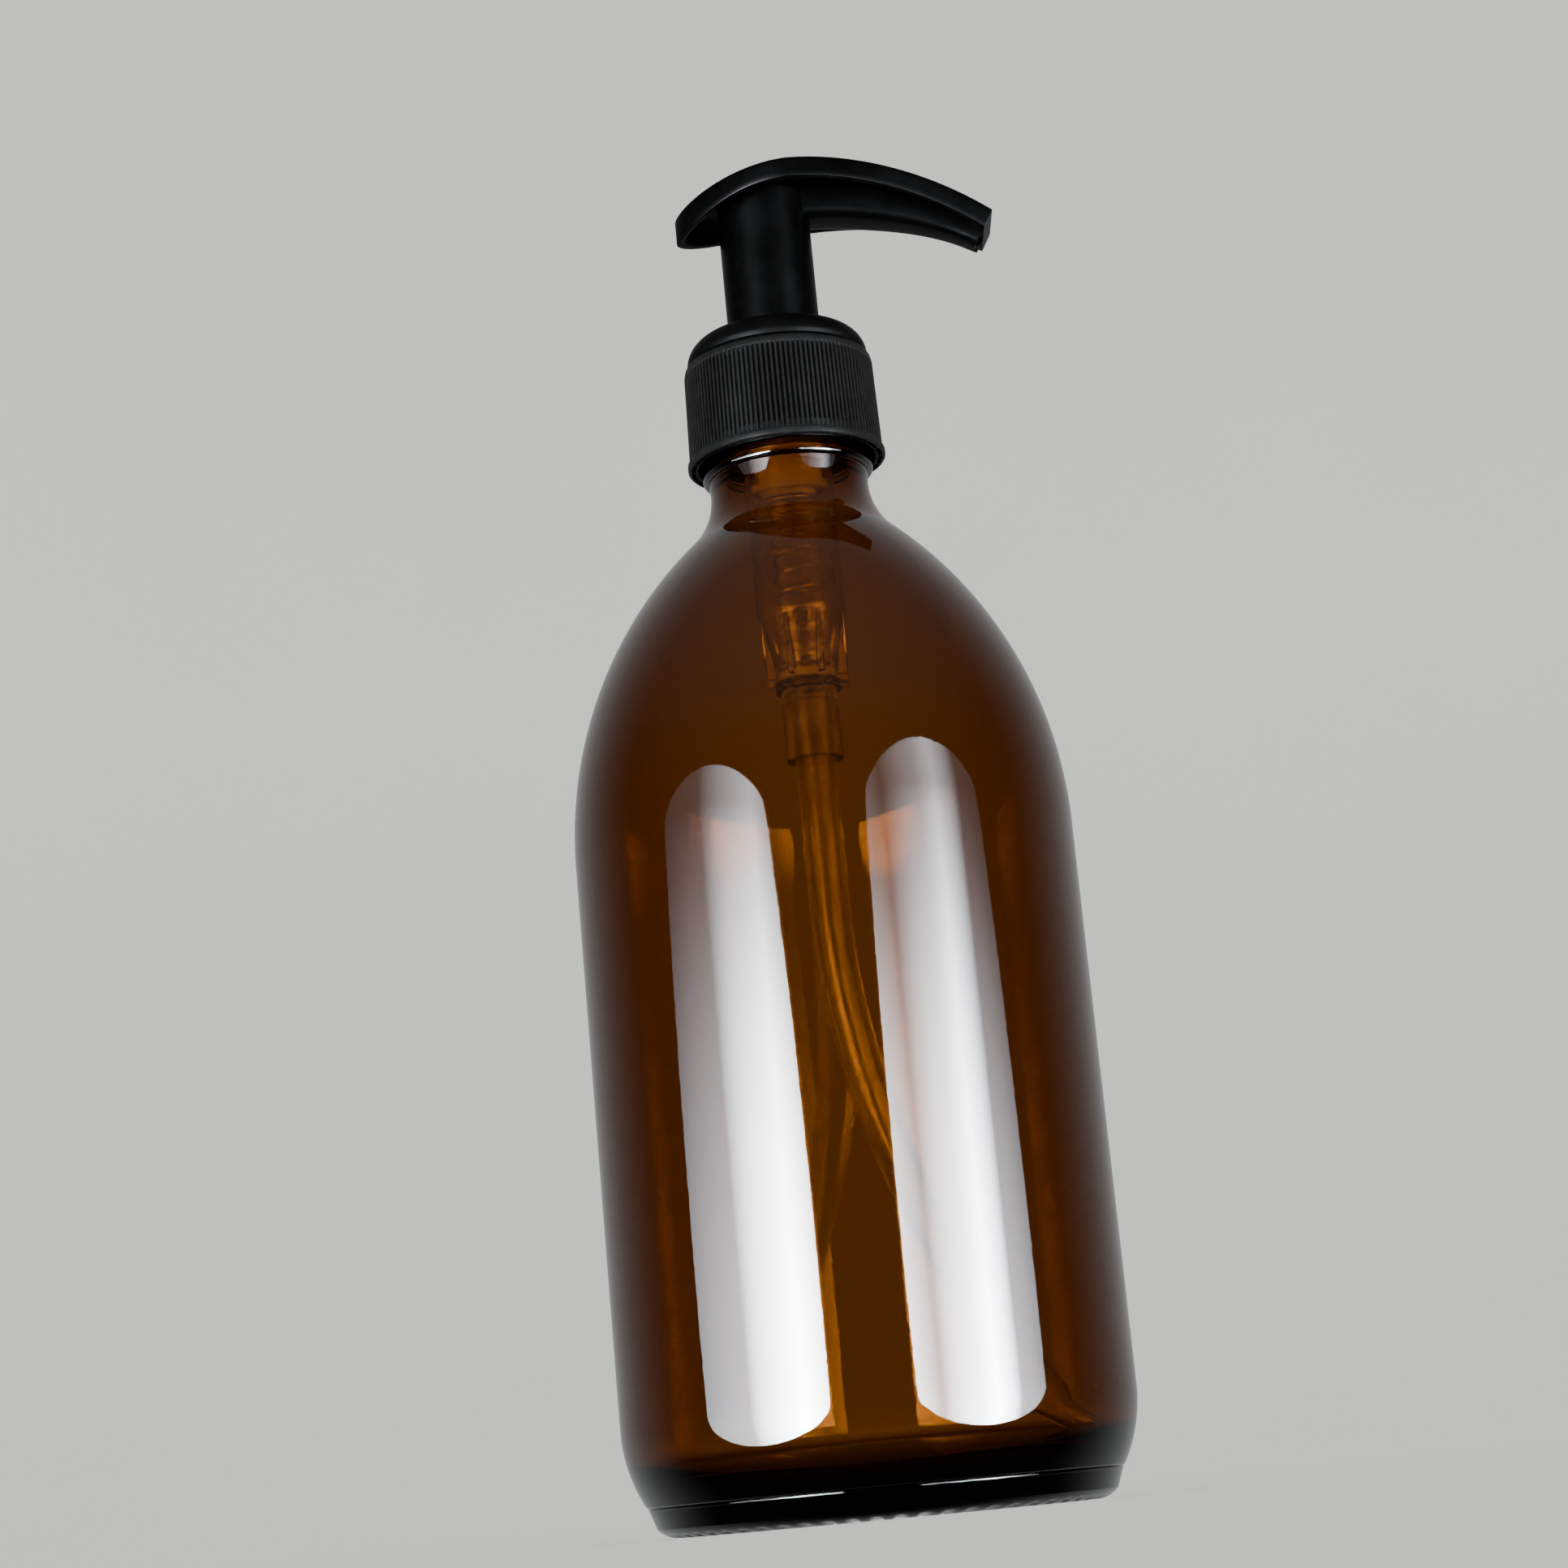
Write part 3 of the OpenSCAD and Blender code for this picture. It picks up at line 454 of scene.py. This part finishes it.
def bottle_shape(radius, height, angle):
    """Adds the thread to the neck and the knurls to the standing ring."""
    neck_low = BLEND_Z + 4
    if height > neck_low and radius > NECK_R - 0.01:
        return radius + thread_rise(angle, height, THREAD_TOP, THREAD_H, 1.1, 0.45), height
    if height < 1.2 and radius > BEARING_IN_R - 1:
        tooth = 0.5 - 0.5 * math.cos(KNURLS * angle)
        across = smooth_step(BEARING_IN_R - 1, BEARING_IN_R + 0.4, radius)
        across *= 1 - smooth_step(CORNER_CX + 0.8, CORNER_CX + 2.4, radius)
        return radius, height + KNURL_H * across * smooth_step(0.45, 0.95, tooth)
    return radius, height


bottle = lathe("glass_bottle", bottle_profile(), 360, bottle_shape, closed=False, sharp_angle=24)
place(bottle, "bottle", "bottle", GLASS)

# ---------------------------------------------------------------- collar

COLLAR_BORE = NECK_R + THREAD_H + 0.35
RIB_DEPTH = 0.45
RIB_LOW = COLLAR_RIM + 1.6
RIB_HIGH = COLLAR_RIM + 15.5
SHELF_Z = COLLAR_RIM + 15.2
CROWN_R = 4.2
CROWN_CX = COLLAR_R - 0.85 - CROWN_R
CROWN_GAP = 0.35
HOLLOW_R = 11.6
HOLE_R = 7.75
COLLAR_LIP = 0.45
COLLAR_EDGE = 0.25
GROOVE_IN_R = 14.58
GROOVE_OUT_R = 15.16
GROOVE_DEEP = 2.4
GROOVE_ROOF_Z = COLLAR_RIM + GROOVE_DEEP
WEB_H = 2.3
POCKETS = 24


def collar_profile():
    """A closed outline: down the bore, round the rim, up the outside, over the crown and inside to the shelf."""
    edge = COLLAR_EDGE
    lip_r = COLLAR_R + COLLAR_LIP
    out = line((COLLAR_BORE, SHELF_Z), (COLLAR_BORE, COLLAR_RIM + 0.3), 60)
    out += arc(COLLAR_BORE + edge, COLLAR_RIM + edge, edge, 180, 270, 3)
    # Groove in the rim
    out += [(GROOVE_IN_R, COLLAR_RIM), (GROOVE_IN_R + 0.04, GROOVE_ROOF_Z),
            (GROOVE_OUT_R - 0.04, GROOVE_ROOF_Z), (GROOVE_OUT_R, COLLAR_RIM)]
    out += arc(lip_r - edge, COLLAR_RIM + edge, edge, 270, 360, 4)
    out += arc(lip_r - 0.3, COLLAR_RIM + 0.85, 0.3, 0, 70, 4)
    # Ribbed wall, with finer steps where the ribs start and end
    out += line((COLLAR_R, COLLAR_RIM + 1.25), (COLLAR_R, RIB_LOW + 0.5), 6)
    out += line((COLLAR_R, RIB_LOW + 1.2), (COLLAR_R, RIB_HIGH - 1.2), 12)
    out += line((COLLAR_R, RIB_HIGH - 0.9), (COLLAR_R, RIB_HIGH), 8)
    out += arc(COLLAR_R - 1.1, RIB_HIGH + 0.4, 1.0, 0, 80, 8)
    # Step and crown
    crown_foot = CROWN_CX + CROWN_R
    out += [(crown_foot + 0.15, RIB_HIGH + 1.42), (crown_foot, RIB_HIGH + 1.6)]
    out += arc(CROWN_CX, COLLAR_TOP - CROWN_R - CROWN_GAP, CROWN_R, 0, 84, 14)
    out += [(9.0, COLLAR_TOP - 0.05), (HOLE_R + 0.3, COLLAR_TOP)]
    out += arc(HOLE_R + edge, COLLAR_TOP - edge, edge, 90, 180, 3)
    # Inside, down to the shelf that presses on the pump's flange
    out += [(HOLE_R, COLLAR_TOP - 1.2), (HOLLOW_R - 0.6, COLLAR_TOP - 1.2), (HOLLOW_R, COLLAR_TOP - 1.8)]
    out += [(HOLLOW_R, SHELF_Z)]
    return out


def collar_shape(radius, height, angle):
    """Adds the inner thread, the webs in the rim's groove, and the ribs."""
    if radius < COLLAR_BORE + 0.01 and height < SHELF_Z - 0.3:
        thread_top = THREAD_TOP - THREAD_PITCH / 2 + 0.35
        return radius - thread_rise(angle, height, thread_top, 1.1, 0.75, 0.3), height
    if abs(height - GROOVE_ROOF_Z) < 0.01 and 14 < radius < 15.3:
        across = abs((angle * POCKETS / (2 * math.pi)) % 1 - 0.5)
        return radius, GROOVE_ROOF_Z - WEB_H * smooth_step(0.40, 0.44, across)
    if RIB_LOW - 0.4 < height < RIB_HIGH + 1.7 and radius > COLLAR_R - 1.2:
        draft = RIB_OUT - DRAFT * (height - COLLAR_RIM)
        inside = smooth_step(RIB_LOW - 0.35, RIB_LOW + 0.25, height)
        inside *= 1 - smooth_step(RIB_HIGH - 0.6, RIB_HIGH, height)
        wave = (angle * RIBS / (2 * math.pi)) % 1
        groove = smooth_step(0.1, 0.28, wave) * (1 - smooth_step(0.55, 0.73, wave))
        return radius + draft - RIB_DEPTH * groove * inside, height
    return radius, height


collar = lathe("screw_collar", collar_profile(), RIBS * 8, collar_shape, closed=True, sharp_angle=40)
place(collar, "collar", "collar", COLLAR_BLACK)

# ---------------------------------------------------------------- pump head

HEAD_BACK = -head_low[0]
HEAD_FRONT = head_high[0]
HEAD_HALF_W = head_high[1]
TIP_HALF_W = 4.8
HEAD_MID = 4.0
ROUND_X = HEAD_MID + 2
CROWN_Z = COLLAR_TOP + 25.4
CROWN_ARC = 56.0
CROWN_CZ = CROWN_Z - CROWN_ARC
RIM_ARC = 52.0
RIM_CZ = CROWN_Z - 3.5 - RIM_ARC
TOP_T = 1.5
SKIRT_T = 1.3
CROWN_EDGE = 0.6
CROWN_DROP = 0.12
TAIL_DROP = 0.8
END_STEP = 2.6
END_FAN = 0.8
DUCT_BACK = 2.6
DUCT_END_IN = 1.9
DUCT_HALF_W = 3.8
NOZZLE_HALF_W = 2.7
DUCT_ARC = CROWN_ARC - 6.8
DUCT_RISE = 1.1
DUCT_ROUND = 0.45
FLASH = 0.75
BORE_R = 1.6
BORE_ARC = DUCT_ARC + BORE_R + 0.9
TIP_LEAN = math.radians(31)
TIP_Z = CROWN_CZ + math.sqrt(CROWN_ARC ** 2 - (HEAD_FRONT - ROUND_X) ** 2)
SLEEVE_R = 7.35
SLEEVE_WALL = 1.15
SLEEVE_LOW = head_low[2]
SOCKET_R = 4.7
SOCKET_UP = 3.4
STEM_HOLE_R = 3.4
STEM_TOP = stem_high[2]


def half_width(x, inset):
    """Half the head's width at x: a rounded tail, then a slow taper to the tip."""
    wide = HEAD_HALF_W - inset
    if x < HEAD_MID:
        share = (HEAD_MID - x) / (HEAD_MID + HEAD_BACK - inset)
        return wide * max(0.0, 1 - share ** 1.7) ** (1 / 1.5)
    return wide - (HEAD_HALF_W - TIP_HALF_W) * ((x - HEAD_MID) / (HEAD_FRONT - HEAD_MID)) ** 1.32


def arc_height(centre_z, radius, x):
    return centre_z + math.sqrt(radius ** 2 - (x - ROUND_X) ** 2)


def end_x(z):
    """Where the slanted end face of the spout is, at a height."""
    return HEAD_FRONT + (z - TIP_Z) * math.tan(TIP_LEAN)


def head_ring(inset, height, front_gap=0.0, width_share=1.0):
    """One closed ring of points round the head: tail, near side, end face, far side."""
    tail_steps, spout_steps = 18, 26
    back_x = -HEAD_BACK + inset
    xs = [back_x + (HEAD_MID - back_x) * (i / tail_steps) ** 2 for i in range(tail_steps + 1)]
    front = HEAD_FRONT - front_gap
    for _ in range(4):
        front = end_x(height(min(front, HEAD_FRONT + 2))) - front_gap
    xs += [HEAD_MID + (front - HEAD_MID) * i / spout_steps for i in range(1, spout_steps + 1)]
    near = [(x, -half_width(x, inset) * width_share, height(x)) for x in xs]
    far = [(x, half_width(x, inset) * width_share, height(x)) for x in reversed(xs)]
    end = [(x, y, near[-1][2]) for x, y in line(near[-1], far[0], 6)[1:-1]]
    return near + end + far[:-1]


def crown(drop):
    """Height of the crown along x, lowered by drop."""
    return lambda x: arc_height(CROWN_CZ, CROWN_ARC, x) - drop


def rim(lift):
    """Height of the skirt's rim along x, which dips towards the tail."""
    return lambda x: arc_height(RIM_CZ, RIM_ARC, x) + lift - TAIL_DROP * smooth_step(-1, -HEAD_BACK, x)


def skirt(share):
    """Height of the skirt's outside along x, from the crown's edge (0) to the rim (1)."""
    high, low = crown(CROWN_DROP + CROWN_EDGE), rim(0.2)
    return lambda x: high(x) * (1 - share) + low(x) * share


def head_shell():
    """The arched cover: crown, rounded edge, skirt, rim and the underside, as a stack of rings."""
    rings = []
    # Crown, slightly domed across, from the middle line out to the rounded edge
    for share in (0.0, 0.3, 0.6, 0.85):
        dome = crown(CROWN_DROP * share ** 2)
        rings.append(head_ring(CROWN_EDGE, dome, 0.3 + END_FAN * (1 - share), share))
    for i in range(7):
        a = math.radians(90 * i / 6)
        inward = 1 - math.sin(a)
        drop = CROWN_DROP + CROWN_EDGE * (1 - math.cos(a))
        rings.append(head_ring(CROWN_EDGE * inward, crown(drop), 0.3 * inward))
    for share in (0.35, 0.7):
        rings.append(head_ring(0, skirt(share)))
    # The rim is flush with the end face outside and set back from it inside
    for inset, lift in ((0.0, 0.25), (0.07, 0.07), (0.25, 0.0)):
        rings.append(head_ring(inset, rim(lift)))
    for inset, lift in ((SKIRT_T - 0.25, 0.0), (SKIRT_T - 0.07, 0.07), (SKIRT_T, 0.25)):
        rings.append(head_ring(inset, rim(lift), END_STEP * inset / SKIRT_T))
    # Inside of the skirt, a fillet, then the underside back to the middle line
    fillet = ((0.0, 2.6), (0.15, 2.0), (0.6, TOP_T + 0.08), (1.1, TOP_T))
    for step, drop in fillet:
        rings.append(head_ring(SKIRT_T + step, crown(drop), END_STEP))
    for share in (0.6, 0.3, 0.0):
        rings.append(head_ring(SKIRT_T + 1.1, crown(TOP_T), END_STEP + END_FAN * (1 - share), share))
    size = len(rings[0])
    faces = []
    for i in range(len(rings) - 1):
        faces += band_faces(i * size, (i + 1) * size, size)
    return add_mesh("head_shell", [p for ring in rings for p in ring], faces, 40)


def duct_section(share, t):
    """One point of the duct's rounded box section and one of its bore, as (radius on the arc, y)."""
    half = DUCT_HALF_W + (NOZZLE_HALF_W - DUCT_HALF_W) * smooth_step(0.3, 1.0, share)
    rise = DUCT_RISE * smooth_step(0.35, 1.0, share)
    high, low = CROWN_ARC - 0.8, DUCT_ARC + rise
    c, s = math.cos(t), math.sin(t)
    # A superellipse gives the box section its rounded corners
    wide = half * math.copysign(abs(c) ** DUCT_ROUND, c)
    tall = (high - low) / 2 * math.copysign(abs(s) ** DUCT_ROUND, s)
    return ((high + low) / 2 + tall, wide), (BORE_ARC + 0.7 * rise + BORE_R * s, BORE_R * c)


def head_duct():
    """Duct under the crown, swept along the crown's arc, with a round passage."""
    start = math.asin((DUCT_BACK - ROUND_X) / CROWN_ARC)
    end = math.asin((HEAD_FRONT - DUCT_END_IN - ROUND_X) / (CROWN_ARC - 3))
    steps, around = 30, 32
    flash = random.Random(7)
    points = []
    for i in range(steps + 1):
        a = start + (end - start) * i / steps
        for ring in (0, 1):
            for k in range(around):
                rad, y = duct_section(i / steps, 2 * math.pi * k / around)[ring]
                # A little ragged moulding flash stands on the edge of the end face
                ragged = FLASH * flash.random() ** 2 if i == steps and ring == 0 else 0.0
                points.append((ROUND_X + rad * math.sin(a) + ragged, y, CROWN_CZ + rad * math.cos(a)))
    row = 2 * around
    faces = []
    for i in range(steps):
        faces += band_faces(i * row, (i + 1) * row, around)
        faces += band_faces((i + 1) * row + around, i * row + around, around)
    for i in (0, steps):
        faces += band_faces(i * row, i * row + around, around)
    return add_mesh("head_duct", points, faces, 40)


def head_sleeve():
    """The tube that runs into the collar, with the stem's socket inside it."""
    top = CROWN_Z - TOP_T - 0.4
    roof = CROWN_CZ + DUCT_ARC - 0.2
    bore = SLEEVE_R - SLEEVE_WALL
    socket_low = SLEEVE_LOW + SOCKET_UP
    profile = [(0.0, top), (SLEEVE_R - 0.5, top)]
    profile += line((SLEEVE_R, top - 0.5), (SLEEVE_R, SLEEVE_LOW + 0.3), 12)
    # Foot and inside of the sleeve
    profile += [(SLEEVE_R - 0.1, SLEEVE_LOW + 0.08), (SLEEVE_R - 0.3, SLEEVE_LOW), (bore + 0.2, SLEEVE_LOW),
                (bore, SLEEVE_LOW + 0.2), (bore, roof - 0.5), (bore - 0.5, roof)]
    # Socket that takes the stem
    profile += [(SOCKET_R + 0.5, roof), (SOCKET_R, roof - 0.5), (SOCKET_R, socket_low + 0.2),
                (SOCKET_R - 0.2, socket_low), (STEM_HOLE_R + 0.2, socket_low),
                (STEM_HOLE_R, socket_low + 0.2), (STEM_HOLE_R, STEM_TOP), (0.0, STEM_TOP)]
    return lathe("head_sleeve", profile, 96, None, closed=False, sharp_angle=40)


def unite(first, others, sharp_angle=40):
    """Unites closed pieces into one closed skin, without the slivers that the union leaves."""
    for other in others:
        union = first.modifiers.new("union", "BOOLEAN")
        union.operation = "UNION"
        union.solver = "MANIFOLD"
        union.object = other
    graph = bpy.context.evaluated_depsgraph_get()
    mesh = bpy.data.meshes.new_from_object(first.evaluated_get(graph))
    first.modifiers.clear()
    first.data = mesh
    for other in others:
        bpy.data.objects.remove(other)
    shape = bmesh.new()
    shape.from_mesh(mesh)
    bmesh.ops.remove_doubles(shape, verts=shape.verts, dist=0.001 * MM)
    bmesh.ops.dissolve_degenerate(shape, edges=shape.edges, dist=0.001 * MM)
    slivers = [face for face in shape.faces if face.calc_area() < (0.0001 * MM) ** 2]
    bmesh.ops.delete(shape, geom=slivers, context="FACES")
    shape.to_mesh(mesh)
    shape.free()
    finish_mesh(mesh, sharp_angle)
    return first


head = unite(head_shell(), [head_duct(), head_sleeve()])
head.name = "pump_head"
place(head, "head", "actuator_head", HEAD_BLACK)

# ---------------------------------------------------------------- dip tube and spring


def sweep(name, centres, frames, radii, sides, sharp_angle=40):
    """Sweeps one or two circles along a path. frames gives (across, side) unit vectors at each centre."""
    points = []
    for radius in radii:
        for centre, (across, side) in zip(centres, frames):
            for k in range(sides):
                t = 2 * math.pi * k / sides
                points.append(tuple(centre + (across * math.cos(t) + side * math.sin(t)) * radius))
    inner = len(centres) * sides
    last = inner - sides
    faces = []
    for layer in range(len(radii)):
        for first in range(layer * inner, layer * inner + last, sides):
            faces += band_faces(first, first + sides, sides)
    for end in (0, last):
        if len(radii) == 2:
            faces += band_faces(end, inner + end, sides)
        else:
            faces.append(tuple(range(end, end + sides)))
    return add_mesh(name, points, faces, sharp_angle)


DIP_R = (tube_high[1] - tube_low[1]) / 2
DIP_BORE_R = 2.0
DIP_TOP = tube_high[2]
DIP_LEAN = math.radians(35)
DIP_BEND = 132.0
DIP_REACH = 30.0
DIP_END_Z = 8.8


def make_dip_tube():
    """Straight down from the housing, one long bend, then a short straight end near the heel."""
    last = (DIP_REACH - DIP_BEND * (1 - math.cos(DIP_LEAN))) / math.sin(DIP_LEAN)
    bend_z = DIP_END_Z + last * math.cos(DIP_LEAN) + DIP_BEND * math.sin(DIP_LEAN)
    centres, frames = [], []

    def add(x, z, lean):
        centres.append(Vector((x, 0, z)))
        frames.append((Vector((math.cos(lean), 0, math.sin(lean))), Vector((0, 1, 0))))

    for i in range(7):
        add(0, DIP_TOP + (bend_z - DIP_TOP) * i / 6, 0)
    for i in range(1, 61):
        a = DIP_LEAN * i / 60
        add(DIP_BEND * (1 - math.cos(a)), bend_z - DIP_BEND * math.sin(a), a)
    for i in range(1, 5):
        left = last * (4 - i) / 4
        add(DIP_REACH - left * math.sin(DIP_LEAN), DIP_END_Z + left * math.cos(DIP_LEAN), DIP_LEAN)
    return sweep("suction_tube", centres, frames, (DIP_R, DIP_BORE_R), 40)


place(make_dip_tube(), "pump", "dip_tube", CLEAR)

WIRE_R = 0.425
COIL_R = (spring_high[0] - spring_low[0]) / 2 - WIRE_R
OPEN_TURNS, CLOSED_TURNS = 8, 1


def make_spring():
    """A coil with one closed turn at each end."""
    low, high = spring_low[2] + WIRE_R, spring_high[2] - WIRE_R
    total = OPEN_TURNS + 2 * CLOSED_TURNS
    pitch = 2 * WIRE_R
    rise = high - low - 2 * CLOSED_TURNS * pitch
    centres, frames = [], []
    steps = total * 36
    for i in range(steps + 1):
        turn = i * total / steps
        opened = min(max(turn - CLOSED_TURNS, 0), OPEN_TURNS)
        closed = min(turn, CLOSED_TURNS) + max(0, turn - CLOSED_TURNS - OPEN_TURNS)
        a = 2 * math.pi * turn
        outward = Vector((math.cos(a), math.sin(a), 0))
        height = low + rise * opened / OPEN_TURNS + pitch * closed
        centres.append(outward * COIL_R + Vector((0, 0, height)))
        frames.append((outward, Vector((0, 0, 1))))
    return sweep("return_spring", centres, frames, (WIRE_R,), 10)


spring = make_spring()
place(spring, "pump", "spring", WIRE)
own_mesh(spring)

# ---------------------------------------------------------------- pieces that keep their CAD shape

CAD_LOOKS = {
    "pump_housing": CLEAR, "chaplet": HEAD_BLACK, "stem": WHITE,
    "piston": SOFT, "piston_retainer": WHITE, "ball_cage": WHITE, "neck_gasket": FOAM,
    "inlet_ball": BALL, "outlet_ball": BALL,
}
for node_name, material in CAD_LOOKS.items():
    node = bpy.data.objects[node_name]
    dress(node, material)
    finish_mesh(node.data, 35)

# ---------------------------------------------------------------- stage and light


def make_stage():
    """A pale paper floor that curves up into a wall all round, so that no edge shows from any side."""
    flat, curve, wall = 1500.0, 700.0, 1400.0
    profile = [(0.0, -0.02), (150, -0.02), (500, -0.02), (1000, -0.02)]
    profile += arc(flat, curve, curve, -90, 0, 24)
    profile += [(flat + curve, curve + wall)]
    stage = lathe("studio_floor", profile, 128, None, closed=False, sharp_angle=60)
    material, tree, shader = new_material("studio_paper")
    fibre = noise(tree, 3, 3, 0.6)
    tree.links.new(ramp(tree, fibre, [(0.3, (0.4, 0.405, 0.395)), (0.7, (0.42, 0.425, 0.415))]),
                   shader.inputs["Base Color"])
    shader.inputs["Roughness"].default_value = 0.9
    shader.inputs["Specular IOR Level"].default_value = 0.0
    shader.inputs["Emission Color"].default_value = (0.99, 1.0, 0.96, 1)
    shader.inputs["Emission Strength"].default_value = 0.62
    dress(stage, material)
    # Its own glow keeps the paper even, and must not show as a second reflection in the glass
    stage.visible_glossy = False


AIM_Z = 90.0
LAMP_COLOUR = (0.86, 0.92, 1.0)


def soft_light(name, azimuth, elevation, distance, across, tall, power, bands):
    """An oval soft box aimed at the bottle, dimmer towards its top, with brighter and dimmer upright bands.

    Azimuth is counted from the camera round to the right, and sizes are in mm."""
    a, e = math.radians(azimuth), math.radians(elevation)
    way = Vector((math.sin(a) * math.cos(e), -math.cos(a) * math.cos(e), math.sin(e)))
    centre = Vector((0, 0, AIM_Z * MM)) + way * distance * MM
    data = bpy.data.lights.new(name, "AREA")
    data.shape = "ELLIPSE"
    data.size = across * MM
    data.size_y = tall * MM
    data.energy = power
    data.color = LAMP_COLOUR

    data.use_nodes = True
    tree = data.node_tree
    spot = tree.nodes.new("ShaderNodeNewGeometry").outputs["Position"]
    fade = map_range(tree, separate(tree, spot)["Z"], -0.04, 0.3, 1.0, 0.035, "SMOOTHSTEP")
    # Sideways place on the box, from 0 at its left edge to 1 at its right, as the bottle sees it
    sideways = Vector((math.cos(a), math.sin(a), 0)) / (across * MM)
    along = tree.nodes.new("ShaderNodeVectorMath")
    along.operation = "DOT_PRODUCT"
    along.inputs[1].default_value = sideways
    tree.links.new(spot, along.inputs[0])
    place_across = calculate(tree, "ADD", along.outputs["Value"], 0.5 - centre.dot(sideways))
    strength = calculate(tree, "MULTIPLY", fade, ramp(tree, place_across, bands))
    tree.links.new(strength, tree.nodes["Emission"].inputs["Strength"])

    lamp = bpy.data.objects.new(name, data)
    lamp.location = centre
    lamp.rotation_euler = way.to_track_quat("Z", "Y").to_euler()
    lamp.visible_camera = False
    lamp.visible_diffuse = False
    bpy.context.collection.objects.link(lamp)


def make_world():
    """A bright wall of light behind the bottle, a dim ceiling and a dark room on the near side."""
    world = bpy.data.worlds.new("studio")
    bpy.context.scene.world = world
    world.use_nodes = True
    tree = world.node_tree
    sky = tree.nodes["Background"]
    sky.inputs["Color"].default_value = (0.97, 0.99, 1.0, 1)
    direction = separate(tree, tree.nodes.new("ShaderNodeTexCoord").outputs["Generated"])
    room = 0.012
    behind = map_range(tree, direction["Y"], 0.05, 0.9, room, 0.42, "SMOOTHSTEP")
    above = map_range(tree, direction["Z"], 0.3, 0.9, room, 0.16, "SMOOTHSTEP")
    tree.links.new(calculate(tree, "ADD", behind, above), sky.inputs["Strength"])


make_stage()
make_world()
soft_light("left_box", -49, 0, 800, 900, 700, 600,
           [(0.0, 0.03), (0.4, 0.07), (0.66, 0.6), (0.8, 1.0), (1.0, 0.35)])
soft_light("right_box", 47, 1, 800, 940, 740, 600,
           [(0.0, 0.25), (0.2, 0.07), (0.46, 0.45), (0.58, 0.9), (0.76, 0.07), (1.0, 0.03)])
